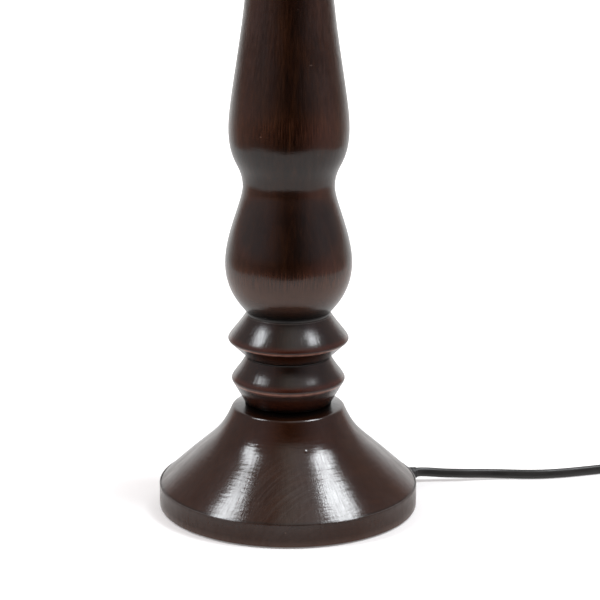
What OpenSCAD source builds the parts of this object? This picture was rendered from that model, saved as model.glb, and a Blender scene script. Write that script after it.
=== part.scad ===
// Table lamp base: turned wood column on a round foot, clamped by a hollow threaded tube that
// carries an E27 lampholder, with a flat two-core lead that leaves the foot towards +X.
// The origin is on the floor under the column's axis. All sizes are in millimetres.

/* [Foot] */
// Diameter of the foot at its rim
foot_d = 150; // [144:1:170]
// Height of the foot's flat top above the floor
foot_h = 61.5; // [58:0.5:68]
// Height of the rim's upper edge above the floor
rim_h = 13.3; // [12.6:0.1:15]
// Width of the shoulder between the rim's face and the crease under the cone
rim_shoulder = 1.6; // [1:0.1:3]
// Width and depth of the dark crease that parts the cone from the rim
crease_w = 0.8; // [0.4:0.1:1.2]
// Radius of the foot's flat top, out to where its edge rounds over
foot_top_r = 31.4; // [29:0.1:34]
// Length over which the flat top's edge rounds
foot_top_round = 1.7; // [1:0.1:2.5]
// Thickness of the wall between the rim and the shallow hollow under the foot
hollow_wall = 21; // [20:0.5:24]
// Height of the shallow hollow's ceiling above the floor
hollow_h = 10; // [9.6:0.1:11]
// Radius of the deep pocket for the ballast
pocket_r = 36; // [30:0.5:38]
// Height of the deep pocket's ceiling above the floor
pocket_h = 36.5; // [35:0.5:38]

/* [Beads] */
// Radius of the neck that joins the foot, the beads and the column
bead_neck_r = 24.6; // [22:0.1:26]
// Height of the lower bead
lower_bead_h = 28.8; // [26:0.1:32]
// Radius at which the two slopes of the lower bead would meet
lower_bead_r = 32.9; // [31:0.1:36]
// Height of that meeting point above the lower bead's foot
lower_bead_peak = 15.8; // [14:0.1:18]
// Height of the upper bead
upper_bead_h = 26; // [24:0.1:30]
// Radius at which the two slopes of the upper bead would meet
upper_bead_r = 35; // [32:0.1:38]
// Height of that meeting point above the upper bead's foot
upper_bead_peak = 10.6; // [9:0.1:13]
// Height of the bead at the top of the column
top_bead_h = 26; // [24:0.1:30]
// Radius at which the two slopes of the top bead would meet
top_bead_r = 31; // [28:0.1:33]
// Height of that meeting point above the top bead's foot
top_bead_peak = 12.8; // [11:0.1:15]
// Radius of the neck under the top bead
top_neck_r = 22.3; // [21:0.1:23.5]
// Radius of the flat top of the wood
wood_top_r = 20.5; // [19.5:0.1:22]

/* [Column] */
// Height of the column, from the upper bead to the top bead
column_h = 240; // [220:1:280]
// Radius of the round bulb
bulb_r = 36.3; // [34:0.1:40]
// Height of the bulb's widest place above the column's foot
bulb_z = 28.7; // [26:0.1:32]
// Radius of the waist
waist_r = 26.2; // [22:0.1:30]
// Height of the waist above the column's foot
waist_z = 73.2; // [68:0.1:78]
// Radius of the vase's shoulder
shoulder_r = 34.1; // [32:0.1:38]
// Height of the shoulder above the column's foot
shoulder_z = 106.5; // [102:0.1:112]
// Radius of the vase's slim neck
neck_r = 23; // [20:0.1:25]
// Depth of the slim neck below the column's top
neck_drop = 31; // [28:0.5:36]
// Radius of the small cushion above the slim neck
cushion_r = 28; // [26:0.1:31]
// Depth of the cushion's widest place below the column's top
cushion_drop = 11.5; // [10:0.1:13]

/* [Tube and ballast] */
// Outer diameter of the hollow threaded tube
tube_d = 10; // [9.5:0.1:11]
// Bore of the tube
tube_bore = 7.2; // [7:0.1:7.8]
// Radial clearance of every hole that the tube passes
tube_gap = 0.1; // [0.05:0.01:0.25]
// Radial clearance of the tube in the drilled wood
wood_gap = 0.4; // [0.2:0.05:0.8]
// Radius of the ballast disc
ballast_r = 34.5; // [28:0.5:35]
// Thickness of the ballast disc
ballast_t = 8; // [6:0.5:9]
// Radius of the washer under the ballast
washer_r = 12; // [10:0.5:15]
// Thickness of that washer
washer_t = 1.5; // [1:0.1:2]
// Width across the flats of the lower nut
nut_af = 17; // [14:0.5:19]
// Height of the lower nut
nut_h = 5.5; // [4:0.1:6]
// Length of tube left below the lower nut
tube_tail = 1.5; // [0.5:0.1:2]
// Thickness of the felt pad under the foot
felt_t = 0.8; // [0.5:0.1:1.2]
// Inset of the felt pad from the rim
felt_inset = 3; // [2:0.5:6]

/* [Top fitting] */
// Radius of the brass cap on the wood
brass_r = 18; // [14:0.5:19]
// Height of the brass cap
brass_h = 3; // [2:0.1:5]
// Width across the flats of the top nut
top_nut_af = 14; // [12:0.5:17]
// Height of the top nut
top_nut_h = 3; // [2:0.1:5]

/* [Lampholder] */
// Outer radius of the lampholder's cap
holder_r = 19.5; // [18.8:0.1:21]
// Radius of the cap's threaded neck
entry_r = 9; // [8:0.1:10]
// Length of the cap's threaded neck
entry_h = 9.5; // [9:0.1:12]
// Height of the cap's outer wall
cap_h = 24; // [23:0.5:28]
// Length of the spigot on the cap that the sleeve screws on
spigot_h = 5; // [4:0.5:7]
// Wall thickness of the spigot
spigot_t = 2; // [1.6:0.1:2.4]
// Thickness of the terminal block
block_t = 8; // [7:0.5:9]
// Outer radius of the sleeve's thread, on which the shade ring runs
sleeve_r = 19.8; // [19:0.1:20.5]
// Outer radius of the shoulder that a shade is clamped against
shoulder_ring_r = 22.5; // [21.8:0.1:24]
// Height of that shoulder
shoulder_ring_h = 9; // [8:0.5:11]
// Height of the sleeve above its shoulder
sleeve_h = 26; // [24:1:32]
// How much slimmer the sleeve's free thread is above the shade ring's seat
thread_relief = 0.4; // [0.3:0.05:0.6]
// Inner radius of the sleeve's mouth
mouth_r = 16; // [15.4:0.1:16.6]
// Inner radius of the bulb's screw shell
shell_r = 13.3; // [13.2:0.05:13.6]
// Thickness of the screw shell
shell_t = 0.7; // [0.5:0.05:1]
// Height of the screw shell
shell_h = 25; // [22:0.5:28]
// Height of the shell's narrow foot, which clears the centre contact
shell_foot_h = 4.5; // [4.2:0.1:6]
// Outer radius of the shade ring
ring_r = 27; // [25:0.5:30]
// Height of the shade ring
ring_h = 8; // [6:0.5:10]
// Radial clearance of the shade ring on its thread
ring_gap = 0.08; // [0.03:0.01:0.1]

/* [Push switch] */
// Diameter of the push bar
bar_d = 6; // [4:0.1:6.4]
// Travel of the push bar
bar_travel = 5; // [3:0.5:6]
// Diameter of the knobs at its ends
knob_d = 8.4; // [7:0.1:9]
// Length of each knob
knob_l = 4; // [3:0.5:6]
// Radial clearance of the push bar in the cap
bar_gap = 0.06; // [0.02:0.01:0.1]
// Gap left between a pressed knob's far end and the cap
knob_gap = 1; // [0.5:0.1:2]

/* [Lead] */
// Width of the flat two-core lead
lead_w = 5.6; // [5:0.1:6]
// Thickness of the lead
lead_t = 3.5; // [3.2:0.1:3.7]
// Height of the lead's outlet above the floor
outlet_h = 6.4; // [6:0.1:6.8]
// Radius of the outlet bush in the rim
bush_r = 3.9; // [3.6:0.1:4.1]
// Length of the bush's tapered nose outside the rim
bush_nose = 9; // [7:0.5:12]
// Clearance between the lead and what holds it
lead_gap = 0.1; // [0.05:0.01:0.2]
// Radial clearance of the bush in the drilled rim
bush_gap = 0.05; // [0.02:0.01:0.1]
// Diameter of one insulated core
core_d = 2.2; // [1.8:0.1:2.4]

/* [Plug] */
// Width of the plug's body
plug_w = 35; // [32:0.5:36]
// Thickness of the plug's body
plug_t = 13.7; // [12:0.1:15]
// Length of the plug's body
plug_l = 34; // [30:1:38]
// Length of the plug's tapered tail
plug_tail = 20; // [20:1:26]
// Diameter of a pin
pin_d = 4; // [3.6:0.1:4.2]
// Length of a pin
pin_l = 19; // [17:0.5:20]
// Distance between the pins' axes
pin_pitch = 18.6; // [17:0.1:19.2]
// Length of a pin's insulated part
pin_sleeve = 10; // [8:0.5:12]

/* [Hidden] */

WOOD = "#3a211a";
BRASS = "#b08d4a";
STEEL = "#9a9ca0";
BLACK = "#1f1f21";
CERAMIC = "#d9d4c8";
FELT = "#1c2b22";

fine = 96;
fit = 0.02;
curve_steps = 12;

foot_r = foot_d / 2;
hollow_r = foot_r - hollow_wall;
tube_r = tube_d / 2;
tube_hole_r = tube_r + tube_gap;
wood_hole_r = tube_r + wood_gap;

// Heights of the stack, from the floor up
lower_bead_z = foot_h;
upper_bead_z = lower_bead_z + lower_bead_h;
column_z = upper_bead_z + upper_bead_h;
top_bead_z = column_z + column_h;
wood_top_z = top_bead_z + top_bead_h;
top_nut_z = wood_top_z + brass_h;
holder_z = top_nut_z + top_nut_h;
tube_top_z = holder_z + entry_h - 0.5;
ballast_z = pocket_h - ballast_t;
washer_z = ballast_z - washer_t;
nut_z = washer_z - nut_h;
tube_z = nut_z - tube_tail;

// Heights inside the lampholder
cap_top_z = holder_z + cap_h;
block_top_z = cap_top_z + spigot_h;
block_z = block_top_z - block_t;
bar_z = holder_z + (entry_h + cap_h + spigot_h - block_t) / 2 + 0.7;
shoulder_ring_z = cap_top_z + shoulder_ring_h;
sleeve_top_z = shoulder_ring_z + sleeve_h;
spigot_r = holder_r - 1.2;
block_r = spigot_r - spigot_t;
ledge_r = block_r - 1.4;
sleeve_ledge_r = block_r - 1;
sleeve_ledge_h = 3;
post_y = 8.5;
post_w = 5;
post_h = block_z - bar_z + 1;
screw_d = 2.5;

// The contact tongue and its slot in the terminal block
tongue_t = 0.5;
tongue_w = 6;
tongue_x = -9;
tongue_reach = 15;
tongue_rise = 3.4;
slot_depth = 2.8;

// The grip that holds the lead inside the foot
grip_gap = 3;
grip_l = 8;
grip_x = hollow_r - grip_gap - grip_l / 2;
grip_w = 23;
grip_t = 1.6;
grip_screw_y = 8;
grip_screw_d = 3;
grip_screw_l = 15;
grip_head_d = 6;
grip_head_h = 1.2;

// The outlet bush
bush_in = hollow_wall + 1;
bush_flange_r = bush_r + 1;
bush_flange_t = 1.6;
bush_tip_r = lead_w / 2 + 0.5;
outlet_x = foot_r + bush_nose;
// Inside the bush, where the lead in the lamp becomes the free cord
lead_end_x = foot_r - 5;

// How far the lead's width leans back from upright, outside and inside the bush
lead_lean = -20;
lead_roll = 90 + lead_lean;

// The coil of the lead's unseen length
coil_x = 221;
coil_y = -74;
coil_turn_r = 30.8;
coil_columns = 5.2;
coil_layers = 2;
tie_t = 0.9;
tie_w = 8;
tie_gap = 0.1;
coil_w = coil_columns * (lead_t + 0.1);
coil_h = coil_layers * (lead_w + 0.1);
coil_out_r = coil_turn_r + coil_w / 2;
coil_in_r = coil_turn_r - coil_w / 2;
coil_mid_low = tie_t + lead_w / 2;
coil_mid_high = coil_mid_low + lead_w + 0.1;

// Where the coil begins and ends, in degrees round its centre
coil_start = 81;
coil_end = -65;

// The free cord's route, from inside its outlet bush to the coil
CORD_ROUTE = [[lead_end_x, 0, outlet_h], [outlet_x, 0, outlet_h], [89, -0.4, 6.1], [94, -1.7, 5.6], [100, -3.8, 5], [107, -6.3, 4.6],
    [115, -8.9, 4.2], [124, -11.2, 3.7], [132, -13.6, 3.2], [140, -16.8, 2.9], [148, -20.6, 2.8],
    [157, -24.2, 2.8], [169, -27.3, 2.8], [182, -29.3, 2.8], [195, -31.1, 2.9], [206, -32.8, 3.2],
    [217, -34.5, 3.6]];

// The lead's route from the coil to the plug
tail_dir = [sin(coil_end), -cos(coil_end), 0];
coil_end_r = coil_out_r - lead_t / 2;
tail_start = [coil_x + coil_end_r * cos(coil_end), coil_y + coil_end_r * sin(coil_end), coil_mid_high];
plug_at = [217, -117.5, plug_t / 2];

// The lead inside the lamp, from the tube's top down to the outlet bush, in the plane y = 0
bend_r = tube_z - outlet_h;
bend_centre = [bend_r, 0, tube_z];
BEND = [for (a = [0:15:90]) bend_centre + bend_r * [-cos(a), 0, -sin(a)]];
INNER_ROUTE = concat([[0, 0, tube_top_z], [0, 0, (tube_top_z + tube_z) / 2]], BEND,
    [[20, 0, outlet_h], [26, 0, outlet_h], [32, 0, outlet_h], [38, 0, outlet_h],
    [grip_x, 0, outlet_h], [lead_end_x, 0, outlet_h]]);
INNER_ROLL = concat([0, 0], [for (a = [0:15:90]) 0], [0.1, 0.35, 0.65, 0.9, 1, 1] * lead_roll);

// A core's route from the tube to its terminal post, in the plane x = 0
CORE_ROUTE = [[0, 1.4, tube_top_z], [0, 1.4, tube_top_z + 0.6], [0, 2.3, tube_top_z + 1.5],
    [0, 4.7, tube_top_z + 2.6], [0, 7.5, tube_top_z + 3.9], [0, post_y, bar_z - 1.8],
    [0, post_y, bar_z - 1]];

function unit(v) = v / norm(v);

// A smooth curve of one turned stretch. The pulls are shares of its width and its height.
function curve(a, b, pull_a, pull_b) =
    let (p = a + [pull_a[0] * (b[0] - a[0]), pull_a[1] * (b[1] - a[1])])
    let (q = b - [pull_b[0] * (b[0] - a[0]), pull_b[1] * (b[1] - a[1])])
    [for (i = [0:curve_steps])
        let (t = i / curve_steps, s = 1 - t)
        s * s * s * a + 3 * s * s * t * p + 3 * s * t * t * q + t * t * t * b];

// A corner c between the lines to a and b, rounded over a length of each
function corner(a, c, b, length) =
    let (p = c + length * unit(a - c), q = c + length * unit(b - c))
    [for (t = [0:1 / 6:1.001]) (1 - t) * (1 - t) * p + 2 * t * (1 - t) * c + t * t * q];

// Points of the flat lead's section, as [along its width, along its thickness]
function flat_section(w, t) = let (r = t / 2, d = (w - t) / 2)
    concat([for (a = [-90:36:90]) [d + r * cos(a), r * sin(a)]],
        [for (a = [90:36:270]) [-d + r * cos(a), r * sin(a)]]);

function round_section(d) = [for (i = [0:7]) d / 2 * [cos(45 * i), sin(45 * i)]];

// The direction of a route at its point i
function heading(route, i) =
    unit(route[min(i + 1, len(route) - 1)] - route[max(i - 1, 0)]);

// A solid swept along a route. The section's first axis stays near ref, turned by roll.
module swept(route, section, ref, rolls) {
    n = len(section);
    last = len(route) - 1;
    points = [for (i = [0:last])
        let (along = heading(route, i), side = unit(cross(along, ref)), up = cross(side, along))
        for (s = section)
            let (u = s[0] * cos(rolls[i]) - s[1] * sin(rolls[i]))
            let (v = s[0] * sin(rolls[i]) + s[1] * cos(rolls[i]))
            route[i] + u * up + v * side];
    walls = [for (i = [0:last - 1], k = [0:n - 1])
        [i * n + k, (i + 1) * n + k, (i + 1) * n + (k + 1) % n, i * n + (k + 1) % n]];
    start = [[for (k = [0:n - 1]) k]];
    end = [[for (k = [n - 1:-1:0]) last * n + k]];
    polyhedron(points, concat(start, walls, end), convexity = 8);
}

module turned(outline) {
    rotate_extrude($fn = fine) polygon(outline);
}

module tube_hole(h, r = wood_hole_r) {
    translate([0, 0, -1]) cylinder(r = r, h = h + 2, $fn = fine);
}

module disc(r, h, hole_r) {
    difference() {
        cylinder(r = r, h = h, $fn = fine);
        tube_hole(h, hole_r);
    }
}

module hex_nut(af, h) {
    difference() {
        cylinder(r = af / 2 / cos(30), h = h, $fn = 6);
        tube_hole(h, tube_hole_r);
    }
}

// Anything turned about the lead's outlet, drawn along +Z and laid along +X
module along_outlet(x) {
    translate([x, 0, outlet_h]) rotate([0, 90, 0]) children();
}

// The opening that the flat lead fills, drawn along +Z from 0 to h
module lead_slot(h) {
    w = lead_w + 2 * lead_gap;
    t = lead_t + 2 * lead_gap;
    rotate([0, 0, lead_lean]) linear_extrude(height = h) {
        translate([(w - t) / 2, 0]) circle(d = t, $fn = 32);
        translate([-(w - t) / 2, 0]) circle(d = t, $fn = 32);
        square([w - t, t], center = true);
    }
}

// A turned bead: two slopes that meet in a rounded peak, with a short neck at each end
module bead(h, foot_r, foot_neck, peak_r, peak_z, top_r, top_neck) {
    low = [foot_r, foot_neck];
    high = [top_r, h - top_neck];
    difference() {
        turned(concat([[0, 0], [foot_r, 0], low],
            corner(low, [peak_r, peak_z], high, 2.6), [high, [top_r, h], [0, h]]));
        tube_hole(h);
    }
}

module foot() {
    crease_r = foot_r - rim_shoulder;
    cone_r = crease_r - crease_w / 2;
    round_z = foot_h - foot_top_round * 0.8;
    round_r = foot_top_r + foot_top_round * 0.3;
    outline = concat(
        [[0, felt_t], [foot_r - 0.6, felt_t], [foot_r, felt_t + 0.6]],
        corner([foot_r, 0], [foot_r, rim_h], [0, rim_h], 0.9),
        [[crease_r, rim_h], [crease_r - crease_w / 4, rim_h - crease_w / 2]],
        curve([cone_r, rim_h], [round_r, round_z], [0.69, 0.61], [0.21, 0.45]),
        corner([round_r, round_z], [foot_top_r, foot_h], [0, foot_h], foot_top_round * 0.8),
        [[0, foot_h]]);
    color(WOOD) difference() {
        turned(outline);
        translate([0, 0, -1]) cylinder(r = hollow_r, h = hollow_h + 1, $fn = fine);
        translate([0, 0, hollow_h - 1])
            cylinder(r = pocket_r, h = pocket_h - hollow_h + 1, $fn = fine);
        tube_hole(foot_h);
        along_outlet(hollow_r - 5) cylinder(r = bush_r + bush_gap, h = foot_r, $fn = 48);
        along_outlet(foot_r - bush_flange_t + 0.6)
            cylinder(r = bush_flange_r + bush_gap, h = 10, $fn = 48);
        for (side = [-1, 1]) translate([grip_x, side * grip_screw_y, hollow_h - 1])
            cylinder(d = grip_screw_d + 2 * fit, h = grip_screw_l, $fn = 32);
    }
}

module lower_bead() {
    list_r = bead_neck_r + 0.2;
    low = [bead_neck_r - 0.4, 2.9];
    high = [bead_neck_r, lower_bead_h - 0.6];
    color(WOOD) translate([0, 0, lower_bead_z]) difference() {
        turned(concat([[0, 0], [list_r, 0], [list_r, 0.6]],
            corner([list_r, 0.6], [bead_neck_r - 2.4, 1.5], low, 1.5), [low],
            corner(low, [lower_bead_r, lower_bead_peak], high, 2.6),
            [high, [bead_neck_r, lower_bead_h], [0, lower_bead_h]]));
        tube_hole(lower_bead_h);
    }
}

module upper_bead() {
    color(WOOD) translate([0, 0, upper_bead_z])
        bead(upper_bead_h, bead_neck_r, 1.5, upper_bead_r, upper_bead_peak, bead_neck_r - 0.3, 1.3);
}

module top_bead() {
    color(WOOD) translate([0, 0, top_bead_z])
        bead(top_bead_h, top_neck_r, 1.2, top_bead_r, top_bead_peak, wood_top_r, 1.2);
}

module column() {
    start = [bead_neck_r - 0.3, 0.4];
    bulb = [bulb_r, bulb_z];
    waist = [waist_r, waist_z];
    shoulder = [shoulder_r, shoulder_z];
    neck = [neck_r, column_h - neck_drop];
    cushion = [cushion_r, column_h - cushion_drop];
    end = [top_neck_r, column_h - 0.6];
    color(WOOD) translate([0, 0, column_z]) difference() {
        turned(concat([[0, 0], [start[0], 0]],
            curve(start, bulb, [0.02, 0.05], [0, 0.68]),
            curve(bulb, waist, [0, 0.38], [0, 0.2]),
            curve(waist, shoulder, [0, 0.39], [0, 0.63]),
            curve(shoulder, neck, [0, 0.18], [0, 0.39]),
            curve(neck, cushion, [0, 0.4], [0, 0.5]),
            curve(cushion, end, [0, 0.6], [0.1, 0.1]),
            [[top_neck_r, column_h], [0, column_h]]));
        tube_hole(column_h);
    }
}

module felt_pad() {
    color(FELT) cylinder(r = foot_r - felt_inset, h = felt_t, $fn = fine);
}

module ballast_disc() {
    color(STEEL) translate([0, 0, ballast_z]) disc(ballast_r, ballast_t, tube_hole_r);
}

module threaded_tube() {
    h = tube_top_z - tube_z;
    color(STEEL) translate([0, 0, tube_z]) disc(tube_r, h, tube_bore / 2);
}

module base_washer() {
    color(STEEL) translate([0, 0, washer_z]) disc(washer_r, washer_t, tube_hole_r);
}

module base_nut() {
    color(BRASS) translate([0, 0, nut_z]) hex_nut(nut_af, nut_h);
}

module brass_cap() {
    edge = [brass_r, brass_h * 0.3];
    color(BRASS) translate([0, 0, wood_top_z]) difference() {
        turned(concat([[0, 0], [brass_r, 0]],
            curve(edge, [brass_r * 0.55, brass_h], [0, 0.6], [0.5, 0]), [[0, brass_h]]));
        tube_hole(brass_h, tube_hole_r);
    }
}

module top_nut() {
    color(BRASS) translate([0, 0, top_nut_z]) hex_nut(top_nut_af, top_nut_h);
}

module cord_bush() {
    grooves = 3;
    pitch = (bush_nose - 2) / grooves;
    nose = [for (i = [0:grooves - 1])
        let (z = bush_in + i * pitch + 1, r = bush_r + 0.2 - i * (bush_r + 0.2 - bush_tip_r) / grooves)
        each [[r, z], [r, z + pitch * 0.6], [r - 0.4, z + pitch * 0.6], [r - 0.4, z + pitch]]];
    color(BLACK) along_outlet(foot_r - bush_in) difference() {
        turned(concat([[0, 0], [bush_r, 0], [bush_r, bush_in - bush_flange_t + 0.6],
            [bush_flange_r, bush_in - bush_flange_t + 0.6], [bush_flange_r, bush_in + 0.6],
            [bush_r + 0.2, bush_in + 0.6]], nose,
            [[bush_tip_r, bush_in + bush_nose - 1], [bush_tip_r, bush_in + bush_nose],
            [0, bush_in + bush_nose]]));
        translate([0, 0, -1]) lead_slot(bush_in + bush_nose + 2);
    }
}

module cord_grip() {
    low = outlet_h - lead_w / 2 - grip_t;
    color(BLACK) translate([grip_x - grip_l / 2, -grip_w / 2, low]) difference() {
        cube([grip_l, grip_w, hollow_h - low]);
        translate([-1, grip_w / 2 - lead_w / 2, grip_t])
            cube([grip_l + 2, lead_w, hollow_h]);
        for (side = [-1, 1]) translate([grip_l / 2, grip_w / 2 + side * grip_screw_y, -1])
            cylinder(d = grip_screw_d + 4 * fit, h = hollow_h + 2, $fn = 32);
    }
}

module grip_screws() {
    low = outlet_h - lead_w / 2 - grip_t;
    color(STEEL) for (side = [-1, 1]) translate([grip_x, side * grip_screw_y, low - grip_head_h]) {
        cylinder(d = grip_head_d, h = grip_head_h, $fn = 32);
        cylinder(d = grip_screw_d, h = grip_screw_l, $fn = 32);
    }
}

module inner_lead() {
    color(BLACK) swept(INNER_ROUTE, flat_section(lead_w, lead_t), [0, 1, 0], INNER_ROLL);
}

module core(side) {
    route = [for (p = CORE_ROUTE) [p[0], side * p[1], p[2]]];
    swept(route, round_section(core_d), [1, 0, 0], [for (p = route) 0]);
}

module live_core() {
    color("#6b3a1e") core(1);
}

module neutral_core() {
    color("#2b5fa8") core(-1);
}

module holder_cap() {
    color(BLACK) translate([0, 0, holder_z]) difference() {
        turned(concat([[0, 0], [entry_r, 0]],
            curve([entry_r, entry_h * 0.5], [holder_r, entry_h + 4], [0.1, 0.5], [0, 0.5]),
            [[holder_r, cap_h], [spigot_r, cap_h], [spigot_r, cap_h + spigot_h],
            [0, cap_h + spigot_h]]));
        tube_hole(entry_h, tube_r + fit);
        translate([0, 0, entry_h]) cylinder(r = ledge_r, h = cap_h, $fn = fine);
        translate([0, 0, block_z - holder_z])
            cylinder(r = block_r + tube_gap, h = block_t + 1, $fn = fine);
        translate([-holder_r - 1, 0, bar_z - holder_z]) rotate([0, 90, 0])
            cylinder(d = bar_d + 2 * bar_gap, h = 2 * holder_r + 2, $fn = 48);
        translate([0, 0, entry_h * 0.3]) rotate([90, 0, 0])
            cylinder(d = 3 + 2 * fit, h = entry_r + 1, $fn = 32);
    }
}

module tube_lock_screw() {
    length = entry_r - tube_r;
    color(STEEL) translate([0, -tube_r, holder_z + entry_h * 0.3]) rotate([90, 0, 0]) difference() {
        cylinder(d = 3, h = length, $fn = 32);
        translate([-2, -0.3, length - 0.8]) cube([4, 0.6, 1]);
    }
}

module terminal_block() {
    color(CERAMIC) translate([0, 0, block_z]) difference() {
        cylinder(r = block_r, h = block_t, $fn = fine);
        translate([tongue_x, -tongue_w / 2 - 0.5, block_t - slot_depth])
            cube([tongue_reach + 1, tongue_w + 1, slot_depth + 1]);
        for (side = [-1, 1]) translate([0, side * (post_y + 4.5), -1])
            cylinder(d = 2, h = block_t + 2, $fn = 32);
    }
}

module terminal_posts() {
    color(BRASS) for (side = [-1, 1]) translate([0, side * post_y, block_z - post_h]) difference() {
        translate([-post_w / 2, -post_w / 2, 0]) cube([post_w, post_w, post_h]);
        translate([0, 0, post_h * 0.55]) rotate([-90 * side, 0, 0])
            cylinder(d = screw_d + 2 * fit, h = post_w, $fn = 32);
    }
}

module terminal_screws() {
    color(STEEL) for (side = [-1, 1])
        translate([0, side * post_y, block_z - post_h * 0.45]) rotate([-90 * side, 0, 0]) {
            cylinder(d = screw_d, h = post_w / 2, $fn = 32);
            translate([0, 0, post_w / 2]) cylinder(d = screw_d + 1.4, h = 1.2, $fn = 32);
        }
}

module centre_contact() {
    top = block_top_z + fit;
    tip = tongue_x + tongue_reach;
    line = [[tongue_x - 1.2, 0], [tongue_x + 2, 0], [tip - 4, tongue_rise], [tip - 2, tongue_rise],
        [tip - 0.6, tongue_rise - 1.2]];
    upper = [for (i = [len(line) - 1:-1:0]) line[i] + [0, tongue_t]];
    color(BRASS) translate([0, tongue_w / 2, top]) rotate([90, 0, 0])
        linear_extrude(height = tongue_w) polygon(concat(line, upper));
}

module screw_shell() {
    out = shell_r + shell_t;
    color(BRASS) translate([0, 0, block_top_z]) difference() {
        turned([[0, 0], [sleeve_ledge_r - 0.2, 0], [sleeve_ledge_r - 0.2, shell_t], [out, shell_t],
            [out, shell_h], [0, shell_h]]);
        translate([0, 0, shell_foot_h]) cylinder(r = shell_r, h = shell_h, $fn = fine);
        tube_hole(shell_h, shell_r - shell_t);
    }
}

module holder_sleeve() {
    h = sleeve_top_z - cap_top_z;
    seat = shoulder_ring_h + ring_h + 0.5;
    thread_r = sleeve_r - thread_relief;
    ledge = [spigot_h, spigot_h + sleeve_ledge_h];
    color(BLACK) translate([0, 0, cap_top_z]) turned([[spigot_r + tube_gap, 0],
        [shoulder_ring_r - 0.6, 0], [shoulder_ring_r, 0.6], [shoulder_ring_r, shoulder_ring_h - 0.6],
        [shoulder_ring_r - 0.6, shoulder_ring_h], [sleeve_r, shoulder_ring_h], [sleeve_r, seat],
        [thread_r, seat], [thread_r, h - 0.8], [thread_r - 0.8, h], [mouth_r + 0.6, h],
        [mouth_r, h - 0.6], [mouth_r, ledge[1]],
        [sleeve_ledge_r, ledge[1]], [sleeve_ledge_r, ledge[0]], [spigot_r + tube_gap, ledge[0]]]);
}

module shade_ring() {
    hole = sleeve_r + ring_gap;
    web = 2;
    color(BLACK) translate([0, 0, shoulder_ring_z]) difference() {
        turned([[hole, 0], [ring_r - 0.8, 0], [ring_r, 0.8], [ring_r, web], [hole + 3.4, web + 0.6],
            [hole + 2.6, ring_h], [hole, ring_h]]);
        for (i = [0:11]) rotate([0, 0, 30 * i]) translate([ring_r + 1.2, 0, -1])
            cylinder(r = 2.4, h = ring_h, $fn = 32);
    }
}

module across_bar(x) {
    translate([x, 0, bar_z]) rotate([0, 90, 0]) children();
}

// The bar rests at the +X end of its travel
bar_half = holder_r + bar_travel / 2 + knob_gap;

module push_bar() {
    color(BLACK) across_bar(bar_travel / 2 - bar_half) cylinder(d = bar_d, h = 2 * bar_half, $fn = 48);
}

module push_knobs() {
    color(BLACK) for (side = [-1, 1]) across_bar(bar_travel / 2 + side * bar_half)
        rotate([side < 0 ? 180 : 0, 0, 0]) turned(concat([[0, 0], [knob_d / 2, 0]],
            curve([knob_d / 2, knob_l * 0.6], [knob_d / 4, knob_l], [0, 0.6], [0.6, 0]),
            [[0, knob_l]]));
}

module switch_collar() {
    color(BRASS) across_bar(bar_travel / 2 - 2) difference() {
        cylinder(d = bar_d + 3, h = 4, $fn = 48);
        translate([0, 0, -1]) cylinder(d = bar_d + 2 * fit, h = 6, $fn = 48);
    }
}

module cord() {
    color(BLACK) swept(CORD_ROUTE, flat_section(lead_w, lead_t), [0, 0, 1],
        [for (p = CORD_ROUTE) lead_lean]);
}

module cord_coil() {
    color(BLACK) translate([coil_x, coil_y, tie_t]) rotate_extrude($fn = fine)
        translate([coil_in_r, 0]) square([coil_w, coil_h]);
}

module coil_ties() {
    inner = coil_in_r - 0.5;
    outer = coil_out_r + tie_gap;
    color("#2a2a2c") for (a = [0, 180]) translate([coil_x, coil_y, 0]) rotate([0, 0, a]) difference() {
        translate([inner - tie_t, -tie_w / 2, 0])
            cube([outer - inner + 2 * tie_t, tie_w, coil_h + 2 * tie_t + tie_gap]);
        translate([inner, -tie_w, tie_t]) cube([outer - inner, 2 * tie_w, coil_h + tie_gap]);
    }
}

module cord_tail() {
    ahead = unit([plug_at[0] - tail_start[0], plug_at[1] - tail_start[1], 0]);
    route = [tail_start, tail_start + 4 * tail_dir, (tail_start + plug_at) / 2, plug_at - 3 * ahead, plug_at];
    color(BLACK) swept(route, flat_section(lead_w, lead_t), [0, 0, 1], [for (p = route) 0]);
}

// Anything on the plug, drawn with +X towards the ends of its pins
module at_plug() {
    ahead = plug_at - tail_start;
    translate(plug_at) rotate([0, 0, atan2(ahead[1], ahead[0])]) children();
}

module plug_body() {
    half = plug_w / 2;
    outline = [[plug_tail, -6], [plug_tail, 6], [plug_tail + plug_l * 0.35, half - 2],
        [plug_tail + plug_l * 0.5, half], [plug_tail + plug_l, half], [plug_tail + plug_l, -half],
        [plug_tail + plug_l * 0.5, -half], [plug_tail + plug_l * 0.35, 2 - half]];
    tail_r = [3.9, 5.6];
    rings = 4;
    pitch = plug_tail / rings;
    color(BLACK) at_plug() {
        translate([0, 0, -plug_t / 2]) linear_extrude(height = plug_t) polygon(outline);
        for (i = [0:rings - 1]) translate([i * pitch, 0, 0]) rotate([0, 90, 0]) {
            cylinder(r = tail_r[0] + (tail_r[1] - tail_r[0]) * i / rings, h = pitch * 0.6, $fn = 48);
            cylinder(r = tail_r[0] + (tail_r[1] - tail_r[0]) * i / rings - 0.5, h = pitch, $fn = 48);
        }
    }
}

module plug_pins() {
    color("#c9c9c4") at_plug() for (side = [-1, 1])
        translate([plug_tail + plug_l + pin_sleeve, side * pin_pitch / 2, 0]) rotate([0, 90, 0]) {
            cylinder(d = pin_d, h = pin_l - pin_sleeve - 1, $fn = 48);
            translate([0, 0, pin_l - pin_sleeve - 1]) cylinder(d1 = pin_d, d2 = pin_d * 0.6, h = 1, $fn = 48);
        }
}

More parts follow.
